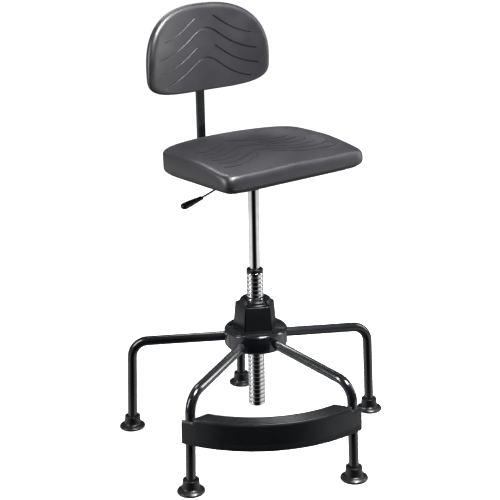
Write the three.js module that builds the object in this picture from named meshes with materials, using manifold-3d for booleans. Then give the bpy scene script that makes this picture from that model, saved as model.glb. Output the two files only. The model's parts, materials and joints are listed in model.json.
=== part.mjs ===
// Drafting chair: a five-legged stool base with a footrest, a ringed lift post, a gas spring,
// a moulded seat and a moulded back on a flat bar. Millimetres, +Z up, the sitter faces -Y.
import * as THREE from 'three';
import { mergeVertices } from 'three/addons/utils/BufferGeometryUtils.js';
import Module from 'manifold-3d';

const wasm = await Module();
wasm.setup();

// ---------------------------------------------------------------- driving dimensions
const GAP = 0.3;                    // clearance between two pieces that touch
const RUN = 0.4;                    // running clearance of a piece that slides or turns
const ROUND_SIDES = 16;             // sides of a turned piece, the same on mating pieces

// base
const LEG_COUNT = 5;
const FIRST_LEG_AZIMUTH = 5.4;      // degrees from -Y towards +X
const LEG_STEP = 360 / LEG_COUNT;
const TUBE_R = 12.7;                // leg tube, outer radius
const TUBE_WALL = 1.8;
const FOOT_RADIUS = 350;            // column axis to the leg's end, on the floor
const LEG_SPLAY = 0.0431;           // outward lean of the upright part, mm per mm
const ARM_SLOPE = 0.1232;           // fall of the arm, mm per mm
const ARM_Z = 284;                  // height of the arm's axis where it leaves the hub
const BEND_R = 52;                  // centre-line radius of the leg's bend
const LEG_INNER = 38;               // column axis to the leg's inner end
const GLIDE_R = 35;
const GLIDE_H = 35;
const GLIDE_FLOOR = 5;              // rubber under the tube's end
const GLIDE_NECK_WALL = 7;

// footrest
const TREAD_TOP = 203;
const TREAD_BOTTOM = 133;
const TREAD_WALL = 3;
const TREAD_DEPTH = 39;             // the legs' circle to the tread's inner edge
const TREAD_BOLT_Z = 177;
const BOLT_R = 3;

// gas spring and the ringed post around it
const GAS_R = 14;
const GAS_WALL = 1.6;
const GAS_BOTTOM = 400;
const GLAND_H = 12;
const LIFT_LEFT = 10;               // travel left above the height that is shown
const ROD_R = 5;
const TAIL_R = 4;
const PIN_R = 3.6;
const CAP_WALL = 2.8;
const POST_WALL = 3.4;
const RING_DEPTH = 1.3;
const RING_PITCH = 11.625;
const POST_BOTTOM = 95;
const POST_TOP = 467;
const CAP_H = 10;
const CAP_SLEEVE = 27;
const POST_FLOOR = 110;             // top of the floor inside the post
const FLOOR_THICK = 6;

const GAS_BORE_R = GAS_R - GAS_WALL;
const POST_BORE_R = GAS_R + RUN + CAP_WALL + GAP;
const POST_GROOVE_R = POST_BORE_R + POST_WALL;
const POST_R = POST_GROOVE_R + RING_DEPTH;
const CAP_TOP = POST_TOP + CAP_H;

// hub
const HUB_WALL_BELOW = 5.3;         // flange under the arms
const HUB_WALL_ABOVE = 19.3;        // flange over the arms
const HUB_R = 83;
const SCREW_R = 2.2;
const SCREW_RADIUS = 66;            // column axis to the flange screws
const BUSH_WALL = 4.6;
const JAW_WALL = 18.4;              // collar
const JAW_SKIRT_WALL = 10.4;
const JAW_H = 13;                   // collar above the housing
const LEDGE = 3.1;                  // flat of the housing's top outside the collar
const TOWER_H = 67;
const TOWER_TAPER = 7;
const TOWER_WALL = 4;
const CORNER_SLOT = 4.4;

const HUB_BOTTOM = ARM_Z - TUBE_R - HUB_WALL_BELOW;
const HUB_TOP = ARM_Z + TUBE_R + HUB_WALL_ABOVE;
const TOWER_TOP = HUB_TOP + TOWER_H;
const JAW_TOP = TOWER_TOP + JAW_H;
const JAW_BORE_R = POST_R + RUN;
const BUSH_OUTER_R = JAW_BORE_R + BUSH_WALL;
const JAW_R = JAW_BORE_R + JAW_WALL;
const JAW_SKIRT_R = JAW_BORE_R + JAW_SKIRT_WALL;
const TOWER_TOP_R = (JAW_R + LEDGE) / Math.cos(Math.PI / LEG_COUNT);   // to the corners
const TOWER_BOTTOM_R = TOWER_TOP_R + TOWER_TAPER;

// seat
const SEAT_BOTTOM = 746;
const SEAT_THICK = 62;
const SEAT_HALF_WIDTH = 218;
const SEAT_CENTRE_Y = -10;
const SEAT_FRONT = 176;             // centre to front edge
const SEAT_FRONT_POWER = 20;        // the higher, the sharper the corners
const SEAT_REAR_POWER = 5;
const SEAT_FRONT_FALL = 12;         // how far the rim drops towards the front
const SEAT_REAR = 122;              // centre to rear corners
const SEAT_BULGE = 42;              // how far the rear edge bows out
const SEAT_DISH = 14;
const BOARD_THICK = 10;
const BOARD_SHARE = 0.9;            // the board's outline, as a share of the cushion's
const BOARD_DROP = 3;               // how far the board stands below the cushion
const PLATE_THICK = 3;
const PLATE_HALF_X = 90;
const PLATE_HALF_Y = 75;
const SEAT_BOLT_X = 74;
const SEAT_BOLT_Y = 56;
const PAN_HALF_X = 60;
const PAN_HALF_Y = 40;
const PAN_DEPTH = 27.4;
const SHEET = 2.5;
const SOCKET_WALL = 5.7;
const SOCKET_H = 21.7;

const SEAT_TOP = SEAT_BOTTOM + SEAT_THICK;
const PLATE_TOP = SEAT_BOTTOM - BOARD_DROP - GAP;
const PLATE_BOTTOM = PLATE_TOP - PLATE_THICK;
const PAN_TOP = PLATE_BOTTOM - GAP;
const PAN_BOTTOM = PAN_TOP - PAN_DEPTH;
const GAS_TOP = PAN_BOTTOM + 5.5;   // the tube's end stands just inside the pan

// lever
const PIVOT_X = -36;
const PIVOT_Z = PAN_BOTTOM + 15;
const LEVER_Y = 15;
const LEVER_ROD_R = 2.5;
const LEVER_FALL = 0.315;           // mm per mm
const LEVER_HUB_R = 6;
const HANDLE_START = -149;
const HANDLE_LENGTH = 66;
const HANDLE_HALF_WIDTH = 9.5;
const HANDLE_HALF_THICK = 7.5;      // at the round end
const HANDLE_START_SHARE = 0.55;    // thickness at the rod's side, as a share
const HANDLE_FALL = 0.22;

// back
const BAR_WIDTH = 22;
const BAR_THICK = 12;
const BAR_Y = 219;                  // the upright's centre, behind the column
const BAR_INNER_Y = 70;
const BAR_BEND_R = 40;
const CHANNEL_END = 148;
const BACK_RISE = 112;              // seat's rim to the back's lower edge
const BACK_HALF_WIDTH = 192;
const BACK_LOWER = 60;              // widest line above the bottom edge
const BACK_UPPER = 160;             // top edge above the widest line
const BACK_LOWER_POWER = 4;         // roundness of the lower corners
const BACK_UPPER_POWER = 2.7;
const BACK_THICK = 31;
const BACK_TILT = 0.035;
const BACK_WRAP = 25;               // how far the back's sides come forward
const SLEEVE_RISE = 30;             // back's lower edge to the bracket's sleeve
const SLEEVE_H = 80;
const BAR_ABOVE_SLEEVE = 100;
const BRACKET_THICK = 5.3;
const BRACKET_HALF_WIDTH = 45;
const BACK_BOARD_THICK = 8.5;
const BACK_BOARD_HALF = 60;
const BACK_BOARD_INSET = 11.5;      // cushion's mid-plane to the board's front
const BACK_SCREW_X = 34;
const BACK_SCREW_R = 2.5;
const KNOB_R = 20;
const KNOB_H = 20;
const KNOB_STANDOFF = 5;
const STUD_R = 4;

const BACK_BOTTOM = SEAT_TOP + BACK_RISE;
const SLEEVE_BOTTOM = BACK_BOTTOM + SLEEVE_RISE;
const SLEEVE_TOP = SLEEVE_BOTTOM + SLEEVE_H;
const SLEEVE_MIDDLE = (SLEEVE_BOTTOM + SLEEVE_TOP) / 2;
const BAR_TOP = SLEEVE_TOP + BAR_ABOVE_SLEEVE;

// ---------------------------------------------------------------- finishes
const finish = (color, roughness, metalness) =>
  new THREE.MeshStandardMaterial({ color, roughness, metalness });
const BLACK_PAINT = finish(0x0b0c0e, 0.22, 0.0);
const CHROME = finish(0xdcdcdc, 0.12, 1.0);
const STEEL = finish(0x9a9b9d, 0.35, 1.0);
const BLACK_PLASTIC = finish(0x111214, 0.45, 0.0);
const RUBBER = finish(0x0c0c0d, 0.4, 0.0);
const SKIN_FOAM = finish(0x29292c, 0.5, 0.0);
const PLYWOOD = finish(0x9b7a4e, 0.7, 0.0);

// ---------------------------------------------------------------- helpers
const radians = THREE.MathUtils.degToRad;

// One indexed geometry with only positions, and no collapsed triangles.
function clean(geometry) {
  const bare = new THREE.BufferGeometry();
  bare.setAttribute('position', geometry.getAttribute('position').clone());
  if (geometry.index) bare.setIndex(geometry.index.clone());
  const merged = mergeVertices(bare, 1e-4);
  const index = merged.index.array;
  const kept = [];
  for (let i = 0; i < index.length; i += 3) {
    const [a, b, c] = [index[i], index[i + 1], index[i + 2]];
    if (a !== b && b !== c && c !== a) kept.push(a, b, c);
  }
  merged.setIndex(kept);
  return merged;
}

function toSolid(geometry) {
  const merged = clean(geometry);
  return new wasm.Manifold(new wasm.Mesh({
    numProp: 3,
    vertProperties: new Float32Array(merged.getAttribute('position').array),
    triVerts: new Uint32Array(merged.index.array),
  }));
}

function toGeometry(solid) {
  const mesh = solid.getMesh();
  const geometry = new THREE.BufferGeometry();
  geometry.setAttribute('position', new THREE.BufferAttribute(mesh.vertProperties, 3));
  geometry.setIndex(new THREE.BufferAttribute(mesh.triVerts, 1));
  return geometry;
}

function cut(geometry, ...tools) {
  let solid = toSolid(geometry);
  for (const tool of tools) solid = solid.subtract(toSolid(tool));
  return toGeometry(solid);
}

function join(geometry, ...others) {
  let solid = toSolid(geometry);
  for (const other of others) solid = solid.add(toSolid(other));
  return toGeometry(solid);
}

function common(geometry, other) {
  return toGeometry(toSolid(geometry).intersect(toSolid(other)));
}

// A turned body about +Z. The profile is a list of [radius, z], anticlockwise; it starts and
// ends on the axis, or it is closed here.
function turned(profile, segments = ROUND_SIDES) {
  const points = profile.map(([r, z]) => new THREE.Vector2(r, z));
  if (profile[0][0] > 0) points.push(points[0].clone());
  return clean(new THREE.LatheGeometry(points, segments).rotateX(Math.PI / 2));
}

const ring = (inner, outer, z0, z1, segments = ROUND_SIDES) =>
  turned([[inner, z0], [outer, z0], [outer, z1], [inner, z1]], segments);

const disc = (r, z0, z1, segments = ROUND_SIDES) =>
  turned([[0, z0], [r, z0], [r, z1], [0, z1]], segments);

function block(x0, x1, y0, y1, z0, z1) {
  return new THREE.BoxGeometry(x1 - x0, y1 - y0, z1 - z0)
    .translate((x0 + x1) / 2, (y0 + y1) / 2, (z0 + z1) / 2);
}

function prism(points, z0, z1) {
  const shape = new THREE.Shape(points.map(([x, y]) => new THREE.Vector2(x, y)));
  return new THREE.ExtrudeGeometry(shape, { depth: z1 - z0, bevelEnabled: false })
    .translate(0, 0, z0);
}

// A round bar from one point to another.
function bar(from, to, radius, sides = 12) {
  const start = new THREE.Vector3(...from);
  const along = new THREE.Vector3(...to).sub(start);
  const turn = new THREE.Quaternion()
    .setFromUnitVectors(new THREE.Vector3(0, 0, 1), along.clone().normalize());
  return disc(radius, 0, along.length(), sides)
    .applyQuaternion(turn).translate(start.x, start.y, start.z);
}

const roundSection = (radius, sides) => Array.from({ length: sides }, (_, i) => {
  const angle = 2 * Math.PI * (i + 0.5) / sides;
  return new THREE.Vector2(radius * Math.cos(angle), radius * Math.sin(angle));
});

// A path whose points are given, so that a sweep has a step at each of them and nowhere else.
class Route extends THREE.Curve {
  constructor(stations) {
    super();
    this.stations = stations;
  }
  getUtoTmapping(u) {
    return u;
  }
  getPoint(t, target = new THREE.Vector3()) {
    const place = t * (this.stations.length - 1);
    const i = Math.min(Math.floor(place + 1e-9), this.stations.length - 2);
    return target.lerpVectors(this.stations[i].at, this.stations[i + 1].at, place - i);
  }
  getTangent(t, target = new THREE.Vector3()) {
    const i = Math.round(t * (this.stations.length - 1));
    return target.copy(this.stations[i].along);
  }
}

function sweep(stations, section, holes = []) {
  const shape = new THREE.Shape(section);
  shape.holes = holes.map((points) => new THREE.Path(points));
  return clean(new THREE.ExtrudeGeometry(shape, {
    steps: stations.length - 1,
    extrudePath: new Route(stations),
  }));
}

// Stations of a straight - bend - straight path in the plane x = 0.
function bentPath(start, corner, end, bendRadius, bendSteps) {
  const before = corner.clone().sub(start).normalize();
  const after = end.clone().sub(corner).normalize();
  const turn = Math.acos(before.dot(after));
  const setback = bendRadius * Math.tan(turn / 2);
  const inward = after.clone().addScaledVector(before, -before.dot(after)).normalize();
  const bendStart = corner.clone().addScaledVector(before, -setback);
  const centre = bendStart.clone().addScaledVector(inward, bendRadius);
  const stations = [{ at: start, along: before }];
  for (let i = 0; i <= bendSteps; i++) {
    const angle = turn * i / bendSteps;
    const at = centre.clone()
      .addScaledVector(inward, -bendRadius * Math.cos(angle))
      .addScaledVector(before, bendRadius * Math.sin(angle));
    const along = before.clone().multiplyScalar(Math.cos(angle))
      .addScaledVector(inward, Math.sin(angle));
    stations.push({ at, along });
  }
  stations.push({ at: end, along: after });
  return stations;
}

// ---------------------------------------------------------------- assembly
const chair = new THREE.Group();

function place(name, geometry, material, azimuth = 0) {
  const mesh = new THREE.Mesh(geometry, material);
  mesh.name = name;
  mesh.rotation.z = radians(azimuth);
  chair.add(mesh);
  return mesh;
}

const legAzimuth = (i) => FIRST_LEG_AZIMUTH + i * LEG_STEP;
const LEG_NAMES = ['front_right', 'side_right', 'rear', 'side_left', 'front_left'];

// ---------------------------------------------------------------- legs and glides
const armHeight = (r) => ARM_Z - ARM_SLOPE * (r - HUB_R);
const uprightRadius = (z) => FOOT_RADIUS - LEG_SPLAY * z;
const legPoint = (r, z) => new THREE.Vector3(0, -r, z);
const uprightDirection = legPoint(-LEG_SPLAY, 1).normalize();
const armDirection = legPoint(1, -ARM_SLOPE).normalize();

// Where the arm's axis and the upright's axis would meet.
const cornerZ = (ARM_Z - ARM_SLOPE * (FOOT_RADIUS - HUB_R)) / (1 - ARM_SLOPE * LEG_SPLAY);
const legCorner = legPoint(uprightRadius(cornerZ), cornerZ);
const legInnerEnd = legPoint(LEG_INNER, armHeight(LEG_INNER));
const legFoot = legPoint(uprightRadius(GLIDE_FLOOR + 1), GLIDE_FLOOR + 1);

function legBoltHole() {
  const r = uprightRadius(TREAD_BOLT_Z);
  const reach = 2 * TUBE_R;
  return bar([-reach, -r, TREAD_BOLT_Z], [reach, -r, TREAD_BOLT_Z], BOLT_R + GAP);
}

function leg(bolted) {
  const stations = bentPath(legInnerEnd, legCorner, legFoot, BEND_R, 5);
  const tube = sweep(stations, roundSection(TUBE_R, 16),
    [roundSection(TUBE_R - TUBE_WALL, 8)]);
  return bolted ? cut(tube, legBoltHole()) : tube;
}

function armBore() {
  const inner = legInnerEnd.clone().addScaledVector(armDirection, -2 * GAP);
  const outer = legInnerEnd.clone().addScaledVector(armDirection, HUB_R);
  return bar(inner.toArray(), outer.toArray(), TUBE_R + GAP, 16);
}

function glide() {
  const neck = TUBE_R + GAP + GLIDE_NECK_WALL;
  const cone = neck + 2;
  const body = turned([
    [0, 0], [GLIDE_R - 5, 0], [GLIDE_R, 4], [GLIDE_R - 1, 9.5],
    [cone, 15], [neck, GLIDE_H], [0, GLIDE_H],
  ], 20).translate(0, -FOOT_RADIUS, 0);
  const socketStart = legFoot.clone().addScaledVector(uprightDirection, -2 * GAP);
  const socketEnd = legFoot.clone().addScaledVector(uprightDirection, GLIDE_H + 10);
  const socket = bar(socketStart.toArray(), socketEnd.toArray(), TUBE_R + GAP, 16);
  return cut(body, socket);
}

for (let i = 0; i < LEG_COUNT; i++) {
  const carriesFootrest = i === 0 || i === LEG_COUNT - 1;
  place(`leg_${LEG_NAMES[i]}`, leg(carriesFootrest), BLACK_PAINT, legAzimuth(i));
  place(`glide_${LEG_NAMES[i]}`, glide(), RUBBER, legAzimuth(i));
}

// ---------------------------------------------------------------- hub
const SLOT_DEPTH = 6;
const SLOT_HALF_LENGTH = 6;
const SLOT_HALF_WIDTH = 2.6;

// A slot-shaped pocket in the flange's top, above each leg, with the screw's hole below it.
function screwPocket(azimuth) {
  const pocket = block(-SLOT_HALF_LENGTH, SLOT_HALF_LENGTH, -SCREW_RADIUS - SLOT_HALF_WIDTH,
    -SCREW_RADIUS + SLOT_HALF_WIDTH, HUB_TOP - SLOT_DEPTH, HUB_TOP + 1);
  return pocket.rotateZ(radians(azimuth));
}

function screwHole(azimuth) {
  return disc(SCREW_R + GAP, ARM_Z, HUB_TOP, 10)
    .translate(0, -SCREW_RADIUS, 0).rotateZ(radians(azimuth));
}

function hubFlange() {
  const body = turned([
    [BUSH_OUTER_R + GAP, HUB_BOTTOM], [HUB_R - 5, HUB_BOTTOM], [HUB_R, HUB_BOTTOM + 6],
    [HUB_R, HUB_TOP - 7], [HUB_R - 2, HUB_TOP - 2], [HUB_R - 6, HUB_TOP],
    [BUSH_OUTER_R + GAP, HUB_TOP],
  ], 32);
  const tools = [];
  for (let i = 0; i < LEG_COUNT; i++) {
    tools.push(armBore().rotateZ(radians(legAzimuth(i))));
    tools.push(screwPocket(legAzimuth(i)), screwHole(legAzimuth(i)));
  }
  return cut(body, ...tools);
}

function flangeScrew() {
  const tubeTop = armHeight(SCREW_RADIUS) + TUBE_R + 2 * GAP;
  return disc(SCREW_R, tubeTop, HUB_TOP - SLOT_DEPTH - 0.5, 10).translate(0, -SCREW_RADIUS, 0);
}

function frustum(bottomR, topR, z0, z1, sides = LEG_COUNT) {
  return new THREE.CylinderGeometry(topR, bottomR, z1 - z0, sides, 1, false,
    radians(FIRST_LEG_AZIMUTH)).rotateX(Math.PI / 2).translate(0, 0, (z0 + z1) / 2);
}

const JAW_INSET = 4;                // collar's outside to the neck below it

function hubHousing() {
  const base = HUB_TOP + GAP;
  const cornerWall = TOWER_WALL / Math.cos(Math.PI / LEG_COUNT);
  const flare = frustum(TOWER_BOTTOM_R + 3, TOWER_BOTTOM_R, base, base + 5);
  const body = join(frustum(TOWER_BOTTOM_R, TOWER_TOP_R, base, TOWER_TOP), flare);
  const cavity = frustum(TOWER_BOTTOM_R - cornerWall, TOWER_TOP_R - cornerWall,
    base - 1, TOWER_TOP - TOWER_WALL);
  const mouth = disc(JAW_R - JAW_INSET + RUN, TOWER_TOP - 2 * TOWER_WALL, TOWER_TOP + 1, 30);
  const slots = [];
  const lean = Math.atan2(TOWER_BOTTOM_R - TOWER_TOP_R, TOWER_TOP - base);
  for (let i = 0; i < LEG_COUNT; i++) {
    const slot = block(-CORNER_SLOT / 2, CORNER_SLOT / 2, -3, 3, 8, TOWER_TOP);
    slots.push(slot.rotateX(-lean).translate(0, -TOWER_BOTTOM_R, base)
      .rotateZ(radians(legAzimuth(i))));
  }
  return cut(body, cavity, mouth, ...slots);
}

// One of the five segments that grip the ringed post, between two corner slots.
function jaw() {
  const neck = JAW_R - JAW_INSET;
  const whole = turned([
    [JAW_BORE_R, HUB_TOP + GAP], [JAW_SKIRT_R, HUB_TOP + GAP], [JAW_SKIRT_R, TOWER_TOP - 10],
    [neck, TOWER_TOP - 10], [neck, TOWER_TOP + GAP], [JAW_R + 3, TOWER_TOP + GAP],
    [JAW_R + 3, TOWER_TOP + 4], [JAW_R, TOWER_TOP + 6], [JAW_R, JAW_TOP - 3],
    [JAW_R - 2, JAW_TOP], [JAW_BORE_R + 7, JAW_TOP], [JAW_BORE_R, JAW_TOP - 9],
  ], 30);
  const half = Math.PI / LEG_COUNT;
  const reach = 2 * JAW_R;
  const inset = (CORNER_SLOT / 2) / Math.sin(half);
  const wedge = prism([
    [0, -inset],
    [reach * Math.sin(half), -inset - reach * Math.cos(half)],
    [-reach * Math.sin(half), -inset - reach * Math.cos(half)],
  ].reverse(), HUB_TOP - 1, JAW_TOP + 1);
  return common(whole.rotateZ(-radians(legAzimuth(0) + LEG_STEP / 2)), wedge);
}

function jawSpring() {
  const wire = 1.5;
  const centre = JAW_SKIRT_R + GAP + wire;
  const z = (HUB_TOP + TOWER_TOP) / 2;
  const profile = roundSection(wire, 5).map((p) => [centre + p.x, z + p.y]);
  return turned(profile, 24);
}

function guideBush() {
  const lip = 4;
  const top = HUB_BOTTOM + 26;
  return turned([
    [JAW_BORE_R, HUB_BOTTOM - lip], [BUSH_OUTER_R + lip, HUB_BOTTOM - lip],
    [BUSH_OUTER_R + lip, HUB_BOTTOM - GAP], [BUSH_OUTER_R, HUB_BOTTOM - GAP],
    [BUSH_OUTER_R, top], [JAW_BORE_R, top],
  ]);
}

place('hub_flange', hubFlange(), BLACK_PAINT);
place('hub_housing', hubHousing(), BLACK_PLASTIC);
for (let i = 0; i < LEG_COUNT; i++) {
  place(`jaw_${i + 1}`, jaw(), BLACK_PLASTIC, legAzimuth(i) + LEG_STEP / 2);
  place(`flange_screw_${i + 1}`, flangeScrew(), STEEL, legAzimuth(i));
}
place('jaw_spring', jawSpring(), STEEL);
place('guide_bush', guideBush(), BLACK_PLASTIC);

// ---------------------------------------------------------------- footrest
const FACET = 0.5;                  // allowance for the skirt's flat facets
const legFrontRadius = (z) => uprightRadius(z) + TUBE_R + GAP + FACET;
const TREAD_INNER_R = FOOT_RADIUS - TREAD_DEPTH;
const LUG_INNER = TUBE_R + RUN;
const LUG_OUTER = LUG_INNER + 2.6;
const TREAD_SETBACK = TUBE_R + 9.3; // leg's centre to the tread's end
const FIRST_TREAD_LEG = legAzimuth(0);
const LAST_TREAD_LEG = legAzimuth(LEG_COUNT - 1) - 360;

function treadSector(fromAzimuth, toAzimuth, z0, z1) {
  const inner = TREAD_INNER_R - 100;
  const outer = FOOT_RADIUS + 70;
  const steps = 6;
  const points = [];
  for (let i = 0; i <= steps; i++) {
    const a = radians(fromAzimuth + (toAzimuth - fromAzimuth) * i / steps);
    points.push([outer * Math.sin(a), -outer * Math.cos(a)]);
  }
  for (let i = steps; i >= 0; i--) {
    const a = radians(fromAzimuth + (toAzimuth - fromAzimuth) * i / steps);
    points.push([inner * Math.sin(a), -inner * Math.cos(a)]);
  }
  return prism(points, z0, z1);
}

function lug(azimuth, side) {
  const r = uprightRadius(TREAD_BOLT_Z);
  const x0 = side > 0 ? LUG_INNER : -LUG_OUTER;
  const face = legFrontRadius(TREAD_BOLT_Z) + TREAD_WALL / 2;
  return block(x0, x0 + LUG_OUTER - LUG_INNER, -face, -r + 9,
    TREAD_BOLT_Z - 10, TREAD_BOLT_Z + 10).rotateZ(radians(azimuth));
}

function footrest() {
  const skirtInnerBottom = legFrontRadius(TREAD_BOTTOM);
  const skirtInnerTop = legFrontRadius(TREAD_TOP - TREAD_WALL);
  const skirt = turned([
    [skirtInnerBottom, TREAD_BOTTOM], [skirtInnerBottom + TREAD_WALL, TREAD_BOTTOM],
    [skirtInnerTop + TREAD_WALL + 0.6, TREAD_TOP - 10],
    [skirtInnerTop + TREAD_WALL - 2, TREAD_TOP - 3],
    [skirtInnerTop + TREAD_WALL - 6, TREAD_TOP], [skirtInnerTop - 1, TREAD_TOP - 6],
    [skirtInnerTop, TREAD_TOP - 12],
  ], 72);
  const tread = turned([
    [TREAD_INNER_R, TREAD_TOP - 8], [TREAD_INNER_R + TREAD_WALL, TREAD_TOP - 8],
    [TREAD_INNER_R + TREAD_WALL + 1, TREAD_TOP - TREAD_WALL],
    [skirtInnerTop, TREAD_TOP - TREAD_WALL], [skirtInnerTop + 1, TREAD_TOP - 3],
    [skirtInnerTop + TREAD_WALL - 6, TREAD_TOP], [TREAD_INNER_R + 2, TREAD_TOP],
    [TREAD_INNER_R, TREAD_TOP - 2],
  ], 72);
  const skirtEnd = THREE.MathUtils.radToDeg(LUG_OUTER / FOOT_RADIUS);
  const treadEnd = THREE.MathUtils.radToDeg(TREAD_SETBACK / FOOT_RADIUS);
  const low = TREAD_BOTTOM - 5;
  const high = TREAD_TOP + 5;
  const face = common(skirt,
    treadSector(LAST_TREAD_LEG - skirtEnd, FIRST_TREAD_LEG + skirtEnd, low, high));
  const top = common(tread,
    treadSector(LAST_TREAD_LEG + treadEnd, FIRST_TREAD_LEG - treadEnd, low, high));
  const lugs = [];
  const holes = [];
  const notches = [];
  for (const azimuth of [FIRST_TREAD_LEG, LAST_TREAD_LEG]) {
    lugs.push(lug(azimuth, 1), lug(azimuth, -1));
    holes.push(legBoltHole().rotateZ(radians(azimuth)));
    const r = uprightRadius(TREAD_TOP);
    notches.push(block(-TUBE_R - 1, TUBE_R + 1, -r - TUBE_R - 1, -r + 2 * TUBE_R,
      TREAD_TOP - 11, TREAD_TOP + 1).rotateZ(radians(azimuth)));
  }
  return cut(join(face, top, ...lugs), ...holes, ...notches);
}

function footrestBolt() {
  const head = 5.5;
  const r = uprightRadius(TREAD_BOLT_Z);
  const at = (x) => [x, -r, TREAD_BOLT_Z];
  const shank = bar(at(-LUG_OUTER - 2), at(LUG_OUTER + 2), BOLT_R, 10);
  const cap = bar(at(-LUG_OUTER - GAP - 4), at(-LUG_OUTER - GAP), head, 10);
  const nut = bar(at(LUG_OUTER + GAP), at(LUG_OUTER + GAP + 5), head, 6);
  return join(shank, cap, nut);
}

place('footrest', footrest(), BLACK_PLASTIC);
place('footrest_bolt_left', footrestBolt(), STEEL, LAST_TREAD_LEG);
place('footrest_bolt_right', footrestBolt().rotateY(Math.PI).translate(0, 0, 2 * TREAD_BOLT_Z),
  STEEL, FIRST_TREAD_LEG);

// ---------------------------------------------------------------- ringed post
function ringedPost() {
  const outer = [[TAIL_R + RUN + 8, POST_BOTTOM], [POST_GROOVE_R, POST_BOTTOM]];
  const rings = Math.floor((POST_TOP - POST_BOTTOM) / RING_PITCH);
  for (let i = 0; i < rings; i++) {
    const z = POST_BOTTOM + i * RING_PITCH;
    outer.push([POST_R, z + 0.5 * RING_PITCH], [POST_GROOVE_R, z + RING_PITCH]);
  }
  const floorBottom = POST_FLOOR - FLOOR_THICK;
  return turned([
    ...outer, [POST_BORE_R, POST_BOTTOM + rings * RING_PITCH],
    [POST_BORE_R, POST_FLOOR], [TAIL_R + RUN, POST_FLOOR], [TAIL_R + RUN, floorBottom],
    [TAIL_R + RUN + 8, floorBottom],
  ]);
}

function postCap() {
  const inner = GAS_R + RUN;
  return turned([
    [inner, POST_TOP - CAP_SLEEVE], [POST_BORE_R - GAP, POST_TOP - CAP_SLEEVE],
    [POST_BORE_R - GAP, POST_TOP + GAP], [POST_R - 0.4, POST_TOP + GAP],
    [POST_R, POST_TOP + 2], [POST_R - 0.6, CAP_TOP - 1], [POST_R - 2, CAP_TOP],
    [inner + 3, CAP_TOP], [inner, CAP_TOP - 3],
  ]);
}

const WASHER = 2;
const WASHER_R = 12;
const CAGE = 3.4;
const bearingBase = POST_FLOOR + GAP;
const cageBase = bearingBase + WASHER + GAP;
const upperWasherBase = cageBase + CAGE + GAP;
const shoulder = upperWasherBase + WASHER + GAP;

place('ringed_post', ringedPost(), CHROME);
place('post_cap', postCap(), BLACK_PLASTIC);
place('bearing_washer_lower',
  ring(TAIL_R + RUN, WASHER_R, bearingBase, bearingBase + WASHER), STEEL);
place('thrust_bearing', ring(TAIL_R + RUN, WASHER_R, cageBase, cageBase + CAGE), STEEL);
place('bearing_washer_upper',
  ring(TAIL_R + RUN, WASHER_R, upperWasherBase, upperWasherBase + WASHER), STEEL);

// ---------------------------------------------------------------- gas spring
const GLAND_BOTTOM = GAS_BOTTOM + 1;
const GLAND_TOP = GLAND_BOTTOM + GLAND_H;
const PISTON_BOTTOM = GLAND_TOP + LIFT_LEFT + 1;
const PISTON_H = 12;
const TAIL_BOTTOM = POST_BOTTOM + 2;
const CLIP_BOTTOM = TAIL_BOTTOM + 2;
const CLIP_GROOVE_R = TAIL_R - 1;
const CLIP_THICK = 1.2;
const PIN_TOP = GAS_TOP + 5.3;

function pistonRod() {
  const clipTop = CLIP_BOTTOM + CLIP_THICK;
  return turned([
    [0, TAIL_BOTTOM], [TAIL_R - 0.5, TAIL_BOTTOM], [TAIL_R, TAIL_BOTTOM + 0.8],
    [TAIL_R, CLIP_BOTTOM - GAP], [CLIP_GROOVE_R, CLIP_BOTTOM - GAP],
    [CLIP_GROOVE_R, clipTop + GAP], [TAIL_R, clipTop + GAP], [TAIL_R, shoulder],
    [ROD_R, shoulder], [ROD_R, PISTON_BOTTOM - GAP], [0, PISTON_BOTTOM - GAP],
  ]);
}

function gasTube() {
  const taperStart = GAS_TOP - 29.5;
  const boreTop = GAS_TOP - 17.5;
  const pinBore = PIN_R + RUN;
  return turned([
    [GAS_BORE_R, GAS_BOTTOM], [GAS_R - 0.5, GAS_BOTTOM], [GAS_R, GAS_BOTTOM + 1],
    [GAS_R, taperStart], [GAS_R - 0.9, GAS_TOP - 1], [GAS_R - 2, GAS_TOP],
    [pinBore, GAS_TOP], [pinBore, boreTop], [GAS_BORE_R, boreTop],
  ]);
}

place('rod_clip', ring(CLIP_GROOVE_R + GAP, 2 * TAIL_R, CLIP_BOTTOM, CLIP_BOTTOM + CLIP_THICK),
  STEEL);
place('piston_rod', pistonRod(), CHROME);
place('piston', disc(GAS_BORE_R - RUN, PISTON_BOTTOM, PISTON_BOTTOM + PISTON_H), STEEL);
place('gas_tube', gasTube(), CHROME);
place('rod_gland', ring(ROD_R + RUN, GAS_BORE_R - GAP, GLAND_BOTTOM, GLAND_TOP),
  BLACK_PLASTIC);
place('release_pin', disc(PIN_R, GAS_TOP - 12, PIN_TOP), STEEL);

// ---------------------------------------------------------------- seat
// Outline of the cushion: a rounded rectangle whose rear edge bows out.
function seatOutline(angle) {
  const c = Math.cos(angle);
  const s = Math.sin(angle);
  const depth = s <= 0 ? SEAT_FRONT : SEAT_REAR;
  const power = s <= 0 ? SEAT_FRONT_POWER : SEAT_REAR_POWER;
  const reach = ((Math.abs(c) / SEAT_HALF_WIDTH) ** power + (Math.abs(s) / depth) ** power)
    ** (-1 / power);
  const [x, y] = [reach * c, reach * s];
  if (s <= 0) return [x, y];
  const bow = SEAT_BULGE * (1 - (x / SEAT_HALF_WIDTH) ** 2);
  return [x, y * (1 + bow / SEAT_REAR)];
}

// Turns a unit disc's profile into a cushion with the given outline.
function cushion(profile, outline, segments) {
  const geometry = turned(profile, segments);
  const position = geometry.getAttribute('position');
  for (let i = 0; i < position.count; i++) {
    const share = Math.hypot(position.getX(i), position.getY(i));
    const [x, y] = outline(Math.atan2(position.getY(i), position.getX(i)));
    position.setXY(i, x * share, y * share);
  }
  return geometry;
}

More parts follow.
